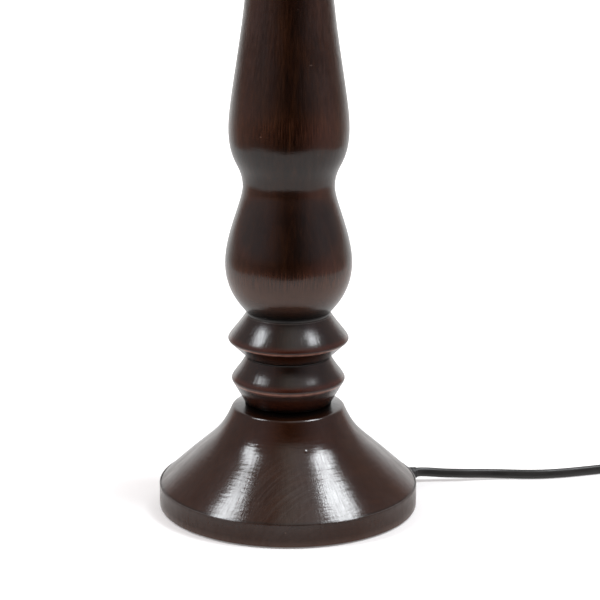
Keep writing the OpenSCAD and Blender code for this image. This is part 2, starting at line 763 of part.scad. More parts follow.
module pin_sleeves() {
    color(BLACK) at_plug() for (side = [-1, 1])
        translate([plug_tail + plug_l, side * pin_pitch / 2, 0]) rotate([0, 90, 0])
            cylinder(d = pin_d - 0.2, h = pin_sleeve, $fn = 48);
}

foot();
lower_bead();
upper_bead();
column();
top_bead();
felt_pad();
ballast_disc();
threaded_tube();
base_washer();
base_nut();
brass_cap();
top_nut();
cord_bush();
cord_grip();
grip_screws();
inner_lead();
live_core();
neutral_core();
holder_cap();
tube_lock_screw();
terminal_block();
terminal_posts();
terminal_screws();
centre_contact();
screw_shell();
holder_sleeve();
shade_ring();
push_bar();
push_knobs();
switch_collar();
cord();
cord_coil();
coil_ties();
cord_tail();
plug_body();
plug_pins();
pin_sleeves();
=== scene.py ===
import math

import bmesh
import bpy
import numpy as np
from mathutils import Matrix, Vector


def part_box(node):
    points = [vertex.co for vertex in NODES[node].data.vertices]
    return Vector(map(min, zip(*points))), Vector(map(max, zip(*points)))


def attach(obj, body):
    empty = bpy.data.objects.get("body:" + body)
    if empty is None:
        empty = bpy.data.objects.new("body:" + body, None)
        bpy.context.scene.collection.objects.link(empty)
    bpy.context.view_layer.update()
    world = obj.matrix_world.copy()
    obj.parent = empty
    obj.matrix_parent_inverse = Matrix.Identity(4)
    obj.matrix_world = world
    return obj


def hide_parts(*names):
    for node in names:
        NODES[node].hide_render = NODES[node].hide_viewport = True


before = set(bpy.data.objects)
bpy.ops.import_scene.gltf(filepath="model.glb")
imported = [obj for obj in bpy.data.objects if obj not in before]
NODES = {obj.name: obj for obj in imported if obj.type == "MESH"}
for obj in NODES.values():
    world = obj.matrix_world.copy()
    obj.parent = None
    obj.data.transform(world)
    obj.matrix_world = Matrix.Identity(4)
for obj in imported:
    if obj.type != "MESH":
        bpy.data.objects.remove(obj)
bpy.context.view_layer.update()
MM = 0.001

# Camera, fitted to the rings of the photograph
VIEW_AZIMUTH = math.radians(-24)
CAMERA_DISTANCE = 1200
CAMERA_HEIGHT = 446
CAMERA_PITCH = math.radians(15.08)
CAMERA_LENS = 130.3
SENSOR_WIDTH = 36
FRAME_WIDTH_PX = 600
LAMP_AXIS_PX = 288.5
CAMERA_ROLL = math.radians(0.16)
NEAREST_SEEN = 20
TOWARDS_CAMERA = Vector((math.sin(VIEW_AZIMUTH), -math.cos(VIEW_AZIMUTH), 0))
CAMERA_RIGHT = Vector((math.cos(VIEW_AZIMUTH), math.sin(VIEW_AZIMUTH), 0))
UP = Vector((0, 0, 1))


def make_camera():
    data = bpy.data.cameras.new("camera")
    data.lens = CAMERA_LENS
    data.sensor_width = SENSOR_WIDTH
    data.clip_start = NEAREST_SEEN * MM
    data.shift_x = (FRAME_WIDTH_PX / 2 - LAMP_AXIS_PX) / FRAME_WIDTH_PX
    camera = bpy.data.objects.new("camera", data)
    camera.location = (CAMERA_DISTANCE * TOWARDS_CAMERA + CAMERA_HEIGHT * UP) * MM
    turned = Matrix.Rotation(VIEW_AZIMUTH, 3, "Z") @ Matrix.Rotation(math.pi / 2 - CAMERA_PITCH, 3, "X")
    camera.rotation_euler = (turned @ Matrix.Rotation(CAMERA_ROLL, 3, "Z")).to_euler()
    bpy.context.scene.collection.objects.link(camera)
    bpy.context.scene.camera = camera


make_camera()


# Node materials


class Nodes:
    """A node tree under construction, for a material or for the world."""

    def __init__(self, owner):
        owner.use_nodes = True
        self.nodes = owner.node_tree.nodes
        self.links = owner.node_tree.links
        self.nodes.clear()

    def feed(self, socket, value):
        if isinstance(value, bpy.types.NodeSocket):
            self.links.new(value, socket)
        elif socket.type == "RGBA" and len(value) == 3:
            socket.default_value = (*value, 1)
        else:
            socket.default_value = value

    def new(self, kind, output, inputs, **settings):
        node = self.nodes.new("ShaderNode" + kind)
        for key, value in settings.items():
            setattr(node, key, value)
        for key, value in inputs.items():
            self.feed(node.inputs[key], value)
        return node.outputs[output]

    def math(self, operation, a, b=0.0, c=0.0):
        return self.new("Math", 0, {0: a, 1: b, 2: c}, operation=operation)

    def vector(self, operation, a, b=(0, 0, 0)):
        return self.new("VectorMath", 0, {0: a, 1: b}, operation=operation)

    def dot(self, a, b):
        return self.new("VectorMath", "Value", {0: a, 1: b}, operation="DOT_PRODUCT")

    def length(self, a):
        return self.new("VectorMath", "Value", {0: a}, operation="LENGTH")

    def noise(self, place, scale, detail=3.0, roughness=0.5, distortion=0.0):
        inputs = {"Vector": place, "Scale": scale, "Detail": detail, "Roughness": roughness}
        return self.new("TexNoise", "Fac", {**inputs, "Distortion": distortion})

    def between(self, value, low, high, to_low=0.0, to_high=1.0):
        """value from low to high, as to_low to to_high, and no further."""
        inputs = {0: value, 1: low, 2: high, 3: to_low, 4: to_high}
        return self.new("MapRange", 0, inputs, interpolation_type="SMOOTHSTEP")

    def mix(self, share, a, b, blend_type="MIX"):
        inputs = {0: share, 6: a, 7: b}
        return self.new("Mix", 2, inputs, data_type="RGBA", blend_type=blend_type)

    def ramp(self, value, stops):
        """A colour for value, through stops of (place, colour)."""
        node = self.nodes.new("ShaderNodeValToRGB")
        elements = node.color_ramp.elements
        for i, (at, colour) in enumerate(stops):
            element = elements[i] if i < 2 else elements.new(at)
            element.position = at
            element.color = (*colour, 1)
        self.feed(node.inputs[0], value)
        return node.outputs["Color"]


class Paint(Nodes):
    """A material under construction: one Principled shader, and nodes that feed it."""

    def __init__(self, name, **constants):
        self.material = bpy.data.materials.new(name)
        super().__init__(self.material)
        self.shader = self.nodes.new("ShaderNodeBsdfPrincipled")
        output = self.nodes.new("ShaderNodeOutputMaterial")
        self.links.new(self.shader.outputs["BSDF"], output.inputs["Surface"])
        self.place = self.new("TexCoord", "Object", {})
        for name, value in constants.items():
            self.set(name.replace("_", " "), value)

    def set(self, name, value):
        self.feed(self.shader.inputs[name], value)

    def stretch(self, scale):
        return self.new("Mapping", "Vector", {"Vector": self.place, "Scale": scale})

    def round_axis(self, radius, height_scale):
        """The place, as if on an upright drum of this radius in metres, with its height scaled."""
        turned = self.vector("NORMALIZE", self.vector("MULTIPLY", self.place, (1, 1, 0)))
        drum = self.new("VectorMath", 0, {0: turned, "Scale": radius}, operation="SCALE")
        return self.vector("ADD", drum, self.vector("MULTIPLY", self.place, (0, 0, height_scale)))

    def attribute(self, name):
        return self.new("Attribute", "Fac", {}, attribute_name=name)

    def bump(self, height, depth, normal=None):
        """A normal from a height of 0 to 1 that stands for depth in metres."""
        inputs = {"Height": height, "Distance": depth, "Strength": 1.0}
        if normal is not None:
            inputs["Normal"] = normal
        return self.new("Bump", "Normal", inputs)

    def near(self, point, reach, scale=(1, 1, 1)):
        """1 at a point given in metres, falling to 0 at reach from it. scale shortens its axes."""
        offset = self.vector("MULTIPLY", self.vector("SUBTRACT", self.place, point), scale)
        return self.between(self.length(offset), 0.0, reach, 1.0, 0.0)


def on_axis(azimuth, radius, height):
    """A point in metres at an azimuth in degrees, right of the camera's side, round the lamp's axis."""
    a = math.radians(azimuth)
    side = TOWARDS_CAMERA * math.cos(a) + CAMERA_RIGHT * math.sin(a)
    return tuple((side * radius + UP * height) * MM)


# The stain by how strong its grain is, and the colours that marks, dirt, painted shade and a painted
# highlight give it
STAIN = [
    (0.42, (0.0036, 0.0010, 0.0002)),
    (0.55, (0.0075, 0.0020, 0.0005)),
    (0.63, (0.0130, 0.0040, 0.0011)),
    (0.74, (0.0240, 0.0080, 0.0025)),
]
THIN_STAIN = (0.105, 0.034, 0.015)
RUBBED_STAIN = (0.118, 0.055, 0.035)
RED_GLOW = (0.098, 0.022, 0.011)
WORN_EDGE = (0.340, 0.170, 0.130)
# Near black, painted into creases, recesses and the joints between turned pieces: painted shade
RECESS_SHADE = (0.0016, 0.0012, 0.0010)
# Pale grey along the beads' top edges: dust, and a painted highlight where the edge would catch light
DUST_AND_HIGHLIGHT = (0.110, 0.100, 0.092)
SMOKE = (0.085, 0.074, 0.069)
SCRATCH = (0.22, 0.15, 0.12)

# Small pale scratches in the lacquer: azimuth, radius, height, length
SCRATCHES = [
    (35, 31, 168, 0.9),
    (-48, 35, 153, 0.8),
    (29, 34, 213, 1.1),
    (24, 30, 262, 1.6),
    (11, 25.5, 292, 0.7),
    (-27, 34, 223, 0.8),
    (-1, 75, 9.5, 0.7),
]
SCRATCH_SHARE = 0.45
SCRATCH_SHAPE = (1, 1, 2.2)

# Pimples in the lacquer: azimuth, radius, height, reach, rise
PIMPLES = [
    (13.8, 40.3, 44.4, 1.7, 0.26),
    (-26, 38.8, 46.5, 1.6, 0.05),
]

# Smoky polishing marks on the foot's front: their middle, how steeply they climb to the right, how
# long they are for their width, how they bend in 1/m, how far they reach and how much they cover
SMOKE_AT = on_axis(-3, 60, 25)
SMOKE_SLOPE = math.radians(34)
SMOKE_ALONG = CAMERA_RIGHT * math.cos(SMOKE_SLOPE) + UP * math.sin(SMOKE_SLOPE)
SMOKE_ACROSS = UP * math.cos(SMOKE_SLOPE) - CAMERA_RIGHT * math.sin(SMOKE_SLOPE)
SMOKE_LENGTH = 20
SMOKE_BEND = 10
SMOKE_REACH = 36
SMOKE_SHARE = 0.28

# How deep the lacquer's orange peel is in metres, and how much of its gloss streaks take
PEEL_DEPTH = 22e-6
STREAK_SHARE = 0.35


def smoke(p):
    """How smoky the lacquer is from its arc-shaped polishing marks."""
    offset = p.vector("SUBTRACT", p.place, SMOKE_AT)
    along, across = p.dot(offset, SMOKE_ALONG), p.dot(offset, SMOKE_ACROSS)
    bent = p.math("MULTIPLY_ADD", p.math("MULTIPLY", along, along), SMOKE_BEND, across)
    way = p.new("CombineXYZ", 0, {0: p.math("MULTIPLY", along, 1 / SMOKE_LENGTH), 1: bent})
    arcs = p.between(p.noise(way, 560, 4, 0.6), 0.32, 0.78)
    return p.math("MULTIPLY", arcs, p.near(SMOKE_AT, SMOKE_REACH * MM))


def marked(p, stain, thin, wear):
    """The stain's colour with marks, dirt, scratches, painted shade and a painted highlight over it."""
    colour = stain
    for share, mark_colour in [
        (thin, THIN_STAIN),
        (p.attribute("rubbed"), RUBBED_STAIN),
        (p.attribute("red"), RED_GLOW),
        (wear, WORN_EDGE),
        # Painted shade: near black in creases, recesses and joints
        (p.attribute("grime"), RECESS_SHADE),
        # Dust, with a painted highlight line along the beads' top edges
        (p.attribute("dust"), DUST_AND_HIGHLIGHT),
        (p.math("MULTIPLY", smoke(p), SMOKE_SHARE), SMOKE),
    ]:
        colour = p.mix(share, colour, mark_colour)
    for azimuth, radius, height, length in SCRATCHES:
        scratched = p.near(on_axis(azimuth, radius, height), length * MM, SCRATCH_SHAPE)
        colour = p.mix(p.math("MULTIPLY", scratched, SCRATCH_SHARE), colour, SCRATCH)
    return colour


def lacquer_normal(p, hairs, upright, around):
    """The lacquer's normal: brush marks upright and around, of two depths, orange peel and pimples."""
    turning = p.noise(p.stretch((0.12, 0.12, 1.0)), 800, 3, 0.6)
    peel = p.noise(p.place, 900, 2, 0.5)
    normal = p.bump(hairs, upright)
    normal = p.bump(turning, around, normal)
    normal = p.bump(peel, PEEL_DEPTH, normal)
    for azimuth, radius, height, reach, rise in PIMPLES:
        normal = p.bump(p.near(on_axis(azimuth, radius, height), reach * MM), rise * MM, normal)
    return normal


def wood_paint(name, grain, figure, richness, drum, upright, around, patchy, gloss_blur):
    """Dark stained wood under gloss lacquer. grain stretches its fibres, figure is their contrast and
    richness multiplies the stain. The lacquer has brush marks upright and around a drum of a radius,
    of two depths, all in metres. patchy is how much gloss it loses in places, and gloss_blur is the
    roughness of the rest."""
    p = Paint(name, Coat_Roughness=gloss_blur, Coat_IOR=1.52, Specular_IOR_Level=0.0)
    fibres = p.stretch(grain)
    fine = p.noise(fibres, 950, 3, 0.6)
    streaks = p.noise(fibres, 230, 4, 0.6, 0.25)
    clouds = p.noise(p.place, 24, 3, 0.5)
    hairs = p.noise(p.round_axis(drum, 0.07), 1700, 2, 0.55)
    tone = p.math("MULTIPLY_ADD", streaks, 0.5, p.math("MULTIPLY", fine, 0.3))
    tone = p.math("MULTIPLY_ADD", clouds, 0.3, tone)
    tone = p.math("MULTIPLY_ADD", tone, figure, 0.55 * (1 - figure))
    stain = p.mix(1.0, p.ramp(tone, STAIN), (richness, richness, richness), "MULTIPLY")
    thin = p.math("MULTIPLY", p.attribute("thin"), p.between(hairs, 0.38, 0.64, 0.1, 1.6))
    wear = p.math("MULTIPLY", p.attribute("wear"), p.between(streaks, 0.25, 0.70, 0.6, 1.0))
    p.set("Base Color", marked(p, stain, thin, wear))
    p.set("Roughness", p.between(p.math("ADD", fine, wear), 0.3, 1.1, 0.42, 0.62))
    strokes = p.noise(p.round_axis(drum, 0.22), 800, 3, 0.6)
    strokes = p.math("MULTIPLY_ADD", strokes, 0.5, p.math("MULTIPLY", clouds, 0.5))
    least = p.math("MULTIPLY_ADD", p.attribute("streaked"), -STREAK_SHARE, 1.0 - patchy)
    brushed = p.between(strokes, 0.36, 0.64, 1.0, least)
    glossy = p.between(p.attribute("dull"), 0.0, 1.0, 1.0, 0.0)
    p.set("Coat Weight", p.math("MULTIPLY", brushed, glossy))
    normal = lacquer_normal(p, hairs, upright, around)
    p.set("Normal", normal)
    p.set("Coat Normal", normal)
    return p.material


def metal_paint(name, low, high, roughness, grain, depth):
    """Plated or turned metal with fine marks, stretched by grain, between two colours."""
    p = Paint(name, Metallic=1.0)
    marks = p.noise(p.stretch(grain), 2600, 3, 0.6)
    clouds = p.noise(p.place, 90, 3, 0.6)
    p.set("Base Color", p.mix(p.between(clouds, 0.35, 0.7), low, high))
    p.set("Roughness", p.between(marks, 0.3, 0.75, roughness - 0.06, roughness + 0.1))
    p.set("Normal", p.bump(marks, depth))
    return p.material


def plastic_paint(name, low, high, roughness, scale, depth, coat=0.0):
    """Moulded plastic or rubber: a slight mottle and a fine moulded grain."""
    p = Paint(name, Coat_Weight=coat, Coat_Roughness=0.12)
    grain = p.noise(p.place, scale, 3, 0.6)
    clouds = p.noise(p.place, 60, 3, 0.6)
    p.set("Base Color", p.mix(p.between(clouds, 0.3, 0.7), low, high))
    p.set("Roughness", p.between(clouds, 0.3, 0.7, roughness - 0.05, roughness + 0.07))
    p.set("Normal", p.bump(grain, depth))
    return p.material


def woven_paint(name, low, high, scale, depth):
    """Felt or a woven strap: matted fibres with a sheen."""
    p = Paint(name, Sheen_Weight=0.35, Sheen_Roughness=0.5, Specular_IOR_Level=0.2)
    fibres = p.noise(p.stretch((1.0, 0.5, 1.0)), scale, 4, 0.7, 1.5)
    p.set("Base Color", p.mix(p.between(fibres, 0.35, 0.7), low, high))
    p.set("Roughness", p.between(fibres, 0.3, 0.7, 0.8, 0.97))
    p.set("Normal", p.bump(fibres, depth))
    return p.material


COLUMN_WOOD = wood_paint(
    "column_wood", grain=(1.0, 1.0, 0.035), figure=1.0, richness=0.85, drum=0.032, upright=80e-6,
    around=26e-6, patchy=0.12, gloss_blur=0.155,
)
FOOT_WOOD = wood_paint(
    "foot_wood", grain=(0.05, 1.0, 1.0), figure=0.3, richness=2.3, drum=0.055, upright=24e-6,
    around=100e-6, patchy=0.30, gloss_blur=0.15,
)
BRASS = metal_paint("brass", (0.62, 0.42, 0.17), (0.74, 0.53, 0.25), 0.24, (0.15, 0.15, 1), 4e-6)
STEEL = metal_paint("steel", (0.42, 0.43, 0.45), (0.56, 0.57, 0.58), 0.36, (1, 1, 0.4), 5e-6)
NICKEL = metal_paint("nickel", (0.66, 0.64, 0.60), (0.78, 0.76, 0.72), 0.18, (1, 1, 1), 2e-6)
HOLDER = plastic_paint("holder", (0.011, 0.010, 0.010), (0.018, 0.017, 0.016), 0.36, 700, 9e-6, 0.3)
RUBBER = plastic_paint("rubber", (0.018, 0.018, 0.019), (0.028, 0.028, 0.029), 0.52, 1400, 16e-6)
SHEATH = plastic_paint("sheath", (0.010, 0.010, 0.0095), (0.014, 0.0135, 0.013), 0.40, 1100, 9e-6)
BROWN = plastic_paint("brown", (0.11, 0.042, 0.018), (0.15, 0.060, 0.028), 0.42, 1600, 8e-6)
BLUE = plastic_paint("blue", (0.020, 0.080, 0.33), (0.030, 0.110, 0.42), 0.42, 1600, 8e-6)
CERAMIC = plastic_paint("ceramic", (0.62, 0.58, 0.50), (0.72, 0.69, 0.62), 0.26, 500, 14e-6, 0.6)
FELT = woven_paint("felt", (0.008, 0.016, 0.012), (0.020, 0.036, 0.027), 1500, 240e-6)
STRAP = woven_paint("strap", (0.012, 0.012, 0.013), (0.036, 0.036, 0.038), 1700, 160e-6)


# Outlines and meshes

# Where faces meet at more degrees than this, the shading has an edge
CREASE = 32


def unit(v):
    return v / np.linalg.norm(v)


def ease(x):
    """0 to 1 as x goes from 0 to 1, with soft ends."""
    x = np.clip(x, 0, 1)
    return x * x * (3 - 2 * x)


def curve(a, b, pull_a, pull_b, steps):
    """A smooth curve of one turned stretch. The pulls are shares of its width and its height."""
    a, b, pull_a, pull_b = (np.array(v, float) for v in (a, b, pull_a, pull_b))
    p, q = a + pull_a * (b - a), b - pull_b * (b - a)
    t = np.linspace(0, 1, steps + 1)[:, None]
    s = 1 - t
    return s**3 * a + 3 * s * s * t * p + 3 * s * t * t * q + t**3 * b


def corner(a, c, b, length, steps):
    """The corner c between the lines to a and b, rounded over a length of each."""
    a, c, b = (np.array(v, float) for v in (a, c, b))
    p, q = c + length * unit(a - c), c + length * unit(b - c)
    t = np.linspace(0, 1, steps + 1)[:, None]
    return (1 - t) ** 2 * p + 2 * t * (1 - t) * c + t * t * q


def outline_of(*corners):
    """A closed outline of corners, each a place and how much of it is rounded: (x, y, rounding)."""
    parts = []
    for i, (x, y, rounding) in enumerate(corners):
        before = corners[i - 1][:2]
        after = corners[(i + 1) % len(corners)][:2]
        parts.append(corner(before, (x, y), after, rounding, 5) if rounding else [(x, y)])
    return np.vstack(parts)


def rectangle(low, high, rounding):
    """The outline of a rectangle between two corners, each rounded."""
    (left, bottom), (right, top) = low, high
    corners = [(left, bottom), (right, bottom), (right, top), (left, top)]
    return outline_of(*[(x, y, rounding) for x, y in corners])


def skin(rings, points_each, closed=False):
    """The faces between rings of points, each ring joined to the next, and the last to the first if
    closed."""
    faces = []
    for i in range(rings if closed else rings - 1):
        this, after = i * points_each, (i + 1) % rings * points_each
        for j in range(points_each):
            k = (j + 1) % points_each
            faces.append((this + j, this + k, after + k, after + j))
    return faces


def capped_skin(rings, points_each):
    """The faces between rings of points, and the faces that close both ends."""
    last = (rings - 1) * points_each
    ends = [tuple(range(points_each)), tuple(range(last, last + points_each))]
    return ends + skin(rings, points_each)


def turn(outline, segments, warp=None):
    """Points and faces of a solid turned about Z. The outline runs anticlockwise, from the bore or the
    axis outwards at the bottom. warp takes and gives radii and heights, with the angles between."""
    outline = np.array(outline, float)
    rows = len(outline)
    r = np.repeat(outline[:, :1], segments, axis=1)
    z = np.repeat(outline[:, 1:], segments, axis=1)
    a = np.tile(np.linspace(0, 2 * math.pi, segments, endpoint=False), (rows, 1))
    if warp:
        r, z = warp(r, a, z)
    points = np.stack([r * np.cos(a), r * np.sin(a), z], axis=-1).reshape(-1, 3)
    bored = outline[0, 0] > 0
    return points, skin(rows, segments, closed=bored)


def join(*shapes):
    """One shape of several that stay separate solids."""
    points, faces = [], []
    for more_points, more_faces in shapes:
        start = sum(len(p) for p in points)
        points.append(np.array(more_points, float))
        faces.extend(tuple(i + start for i in face) for face in more_faces)
    return np.vstack(points), faces


def moved(shape, offset):
    points, faces = shape
    return np.array(points) + offset, faces


def add_piece(name, shape, material, stands_for=(), body="root", place=None, marks=None,
              crease=CREASE):
    """A mesh from (points in mm, faces) that rides on a body. marks are values at its points."""
    points, faces = shape
    mesh = bpy.data.meshes.new(name)
    mesh.from_pydata([tuple(p * MM) for p in np.array(points, float)], [], faces)
    for mark, values in (marks or {}).items():
        mesh.attributes.new(mark, "FLOAT", "POINT").data.foreach_set("value", values)
    if place is not None:
        mesh.transform(place)
    tidy_mesh(mesh, crease)
    mesh.materials.append(material)
    piece = bpy.data.objects.new(name, mesh)
    bpy.context.scene.collection.objects.link(piece)
    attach(piece, body)
    if stands_for:
        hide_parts(*stands_for)
    return piece


def tidy_mesh(mesh, crease):
    """Joins points that coincide, as on an axis, turns the faces outwards and shades it smooth."""
    bm = bmesh.new()
    bm.from_mesh(mesh)
    bmesh.ops.remove_doubles(bm, verts=bm.verts, dist=1e-7)
    bmesh.ops.recalc_face_normals(bm, faces=bm.faces)
    bm.to_mesh(mesh)
    bm.free()
    mesh.shade_smooth()
    mesh.set_sharp_from_angle(angle=math.radians(crease))


def drill(piece, start, end, radius):
    """Drills a piece with a straight round hole between two points."""
    start, end = Vector(start) * MM, Vector(end) * MM
    cutter_mesh = bpy.data.meshes.new("cutter")
    bm = bmesh.new()
    r, length = radius * MM, (end - start).length
    bmesh.ops.create_cone(bm, cap_ends=True, segments=48, radius1=r, radius2=r, depth=length)
    bm.to_mesh(cutter_mesh)
    bm.free()
    along = (end - start).to_track_quat("Z", "Y").to_matrix().to_4x4()
    cutter_mesh.transform(Matrix.Translation((start + end) / 2) @ along)
    cutter = bpy.data.objects.new("cutter", cutter_mesh)
    bpy.context.scene.collection.objects.link(cutter)
    cut = piece.modifiers.new("drill", "BOOLEAN")
    cut.object = cutter
    cut.solver = "EXACT"
    bpy.context.view_layer.update()
    seen = piece.evaluated_get(bpy.context.evaluated_depsgraph_get())
    drilled = bpy.data.meshes.new_from_object(seen)
    piece.modifiers.clear()
    piece.data = drilled
    drilled.shade_smooth()
    drilled.set_sharp_from_angle(angle=math.radians(CREASE))
    bpy.data.objects.remove(cutter)


# The cord, from inside its bush to the coil, in the coil, and on to the plug

CORD_WIDTH = 5.6
CORD_THICKNESS = 3.5
CORD_LEAN = math.radians(-20)
CORD_STEP = 2
CORD_EXIT = (84, 0, 6.4)
CORD_ROUTE = [
    (70, 0, 6.4), CORD_EXIT, (89, -0.4, 6.1), (94, -1.7, 5.6), (100, -3.8, 5), (107, -6.3, 4.6),
    (115, -8.9, 4.2), (124, -11.2, 3.7), (132, -13.6, 3.2), (140, -16.8, 2.9), (148, -20.6, 2.8),
    (157, -24.2, 2.8), (169, -27.3, 2.8), (182, -29.3, 2.8), (195, -31.1, 2.9), (206, -32.8, 3.2),
    (217, -34.5, 3.6),
]
COIL_CENTRE = np.array([221, -74])
COIL_OUTER = 38.41
COIL_PITCH = 3.6
COIL_LOW = 3.7
COIL_HIGH = 9.4
COIL_START = 81
COIL_END = -65
COIL_TURNS = 8 + (COIL_START - COIL_END) / 360
COIL_STEPS = 48
PLUG_AT = np.array([217, -117.5, 6.85])

# The turns over which the coil climbs, the points over which the lead turns on edge, and how far it
# runs straight after the coil and before the plug
CLIMB_TURNS = 0.34
UPRIGHT_POINTS = 30
STRAIGHT_AFTER_COIL = 4
STRAIGHT_BEFORE_PLUG = 3


def smooth_route(points, step):
    """Points every step or so on a smooth curve through a route's points."""
    points = np.array(points, float)
    ends = [2 * points[0] - points[1], *points, 2 * points[-1] - points[-2]]
    route = []
    for a, b, c, d in zip(ends, ends[1:], ends[2:], ends[3:]):
        count = max(2, round(np.linalg.norm(c - b) / step))
        for t in np.linspace(0, 1, count, endpoint=False):
            curved = (2 * a - 5 * b + 4 * c - d) * t * t + (3 * b - a - 3 * c + d) * t**3
            route.append(b + (c - a) * t / 2 + curved / 2)
    return np.array([*route, points[-1]])


def coil_point(turns):
    """The coil's centreline after so many turns: inwards below, then up and outwards above."""
    from_end = min(turns, COIL_TURNS - turns)
    angle = math.radians(COIL_START - 360 * turns)
    radius = COIL_OUTER - COIL_PITCH * from_end
    height = COIL_LOW + (COIL_HIGH - COIL_LOW) * ease((turns - COIL_TURNS / 2) / CLIMB_TURNS + 0.5)
    return [*(COIL_CENTRE + radius * np.array([math.cos(angle), math.sin(angle)])), height]


COIL_LAST = np.array(coil_point(COIL_TURNS))
PLUG_AHEAD = unit((PLUG_AT - COIL_LAST) * (1, 1, 0))


def cord_path():
    """The cord's centreline, and how far its width leans from upright at each point."""
    lead = smooth_route(CORD_ROUTE, CORD_STEP)
    count = round(COIL_TURNS * COIL_STEPS)
    coil = np.array([coil_point(COIL_TURNS * i / count) for i in range(count + 1)])
    onward = coil[-1] + STRAIGHT_AFTER_COIL * unit(coil[-1] - coil[-2]) * (1, 1, 0)
    middle = (coil[-1] + PLUG_AT) / 2
    near_plug = PLUG_AT - STRAIGHT_BEFORE_PLUG * PLUG_AHEAD
    tail = smooth_route([coil[-1], onward, middle, near_plug, PLUG_AT], CORD_STEP)
    path = np.vstack([lead[:-1], coil, tail[1:]])
    upright = np.clip((np.arange(len(path)) - len(lead)) / UPRIGHT_POINTS + 1, 0, 1)
    return path, CORD_LEAN * (1 - upright)


def cord_section(points_each=8):
    """The lead's flat section with round edges, across its width and its thickness."""
    half, r = (CORD_WIDTH - CORD_THICKNESS) / 2, CORD_THICKNESS / 2
    a = np.linspace(-math.pi / 2, math.pi / 2, points_each)
    right = np.stack([half + r * np.cos(a), r * np.sin(a)], axis=1)
    return np.vstack([right, -right])


def sweep(path, section, leans):
    """Points and faces of a section carried along a path. Its first axis points up, then leans."""
    along = np.gradient(path, axis=0)
    along /= np.linalg.norm(along, axis=1)[:, None]
    side = np.cross(along, (0, 0, 1))
    side /= np.linalg.norm(side, axis=1)[:, None]
    up = np.cross(side, along)
    c, s = np.cos(leans)[:, None], np.sin(leans)[:, None]
    wide, thick = c * up + s * side, c * side - s * up
    rings = path[:, None] + section[None, :, :1] * wide[:, None] + section[None, :, 1:] * thick[:, None]
    return rings.reshape(-1, 3), capped_skin(len(path), len(section))


path, leans = cord_path()
mains_lead = add_piece(
    "mains_lead", sweep(path, cord_section(), leans), SHEATH,
    ["cord", "cord_coil", "cord_tail"],
)


# Turned wood

WOOD_SEGMENTS = 192
TUBE_HOLE = 5.4
# Two of these marks paint light: the near-black shade in recesses and joints, and the pale line of dust
# and painted highlight along the beads' top edges
WOOD_MARKS = ("thin", "rubbed", "red", "wear", "grime", "dust", "dull", "streaked")

# Both ends' pulls on a bead's upper slope, its nose and the tip below it seen from its peak, and how
# much of its lower slope is straight
BEAD_PULLS = ((0.124, 0.20), (0.305, 0.382))
BEAD_NOSE = (-0.35, 1.0)
BEAD_TIP = (0.15, -0.05)
STRAIGHT_SHARE = 0.86


def base_of(node):
    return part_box(node)[0].z / MM


def turned_wood(node, outline, material, **marks):
    """A turned piece of wood for a CAD node. marks are lists of (radius, height, reach, strength):
    thin where the stain is thin, rubbed where it is paler, red where it glows, wear where it is rubbed
    through, grime where shade is painted into recesses and joints, dust where
    dust and a painted highlight lie along an edge, and dull or streaked where the lacquer is."""
    outline = np.array(outline, float)

    def share_near(places):
        value = np.zeros(len(outline))
        for r, z, reach, strength in places:
            value = np.maximum(value, strength * np.exp(-(((outline - (r, z)) / reach) ** 2).sum(1)))
        return np.repeat(value, WOOD_SEGMENTS)

    marks = {mark: share_near(marks.get(mark, ())) for mark in WOOD_MARKS}
    place = Matrix.Translation((0, 0, base_of(node) * MM))
    shape = turn(outline, WOOD_SEGMENTS)
    return add_piece("turned_" + node, shape, material, [node], place=place, marks=marks)


def bead_outline(height, low, peak, high, foot, top, pulls=BEAD_PULLS):
    """A straight slope below and a full one above that meet in a rounded nose, between the bead's
    ends. The places are (radius, height)."""
    low, peak, high = (np.array(v, float) for v in (low, peak, high))
    low_slope = low + (peak - low) * np.linspace(0, STRAIGHT_SHARE, 10)[:, None]
    nose = peak + BEAD_NOSE
    high_slope = curve(nose, high, *pulls, 28)
    t = np.linspace(0, 1, 10)[1:-1, None]
    tip = (1 - t) ** 2 * low_slope[-1] + 2 * t * (1 - t) * (peak + BEAD_TIP) + t * t * nose
    return [(TUBE_HOLE, 0), *foot, *low_slope, *tip, *high_slope, *top, (TUBE_HOLE, height)]


def make_lower_bead():
    height = 28.8
    low, peak, high = (25.0, 1.4), (32.9, 15.1), (24.75, 28.0)
    foot = [(24.8, 0), (24.8, 0.35), *corner((24.8, 0.4), (23.4, 0.8), low, 0.5, 4)]
    top = [(24.6, 28.25), (24.1, 28.45), (24.1, height)]
    outline = bead_outline(height, low, peak, high, foot, top, ((0.22, 0.28), (0.37, 0.50)))
    turned_wood(
        "lower_bead", outline, COLUMN_WOOD,
        red=[(32.2, 17.0, 1.6, 0.28), (28, 8, 5, 0.12)],
        wear=[(32.1, 14.0, 0.75, 0.75)],
        # Painted shade at the bead's foot and at its top joint
        grime=[(24.2, 0.8, 3.0, 1), (23.8, 28.8, 0.5, 1)],
        # Dust and a painted highlight along the bead's top edge
        dust=[(24.5, 28.45, 0.3, 0.35)],
        dull=[(25.4, 2.0, 4.5, 0.7)],
    )


def make_upper_bead():
    height = 26
    low, peak, high = (24.6, 0.3), (34.9, 9.9), (24.7, 24.5)
    top = [(24.5, 24.8), (24.0, 25.0), (24.0, height)]
    turned_wood(
        "upper_bead", bead_outline(height, low, peak, high, [(24.3, 0)], top), COLUMN_WOOD,
        red=[(34.3, 11.8, 1.6, 0.28), (28, 5, 3, 0.1)],
        wear=[(34.1, 8.9, 0.75, 0.75)],
        # Painted shade at the bead's foot and at its top joint
        grime=[(24.3, 0.4, 1.2, 1), (23.8, 25.8, 0.8, 1)],
        # Dust and a painted highlight along the bead's top edge
        dust=[(24.5, 24.85, 0.3, 0.6)],
    )


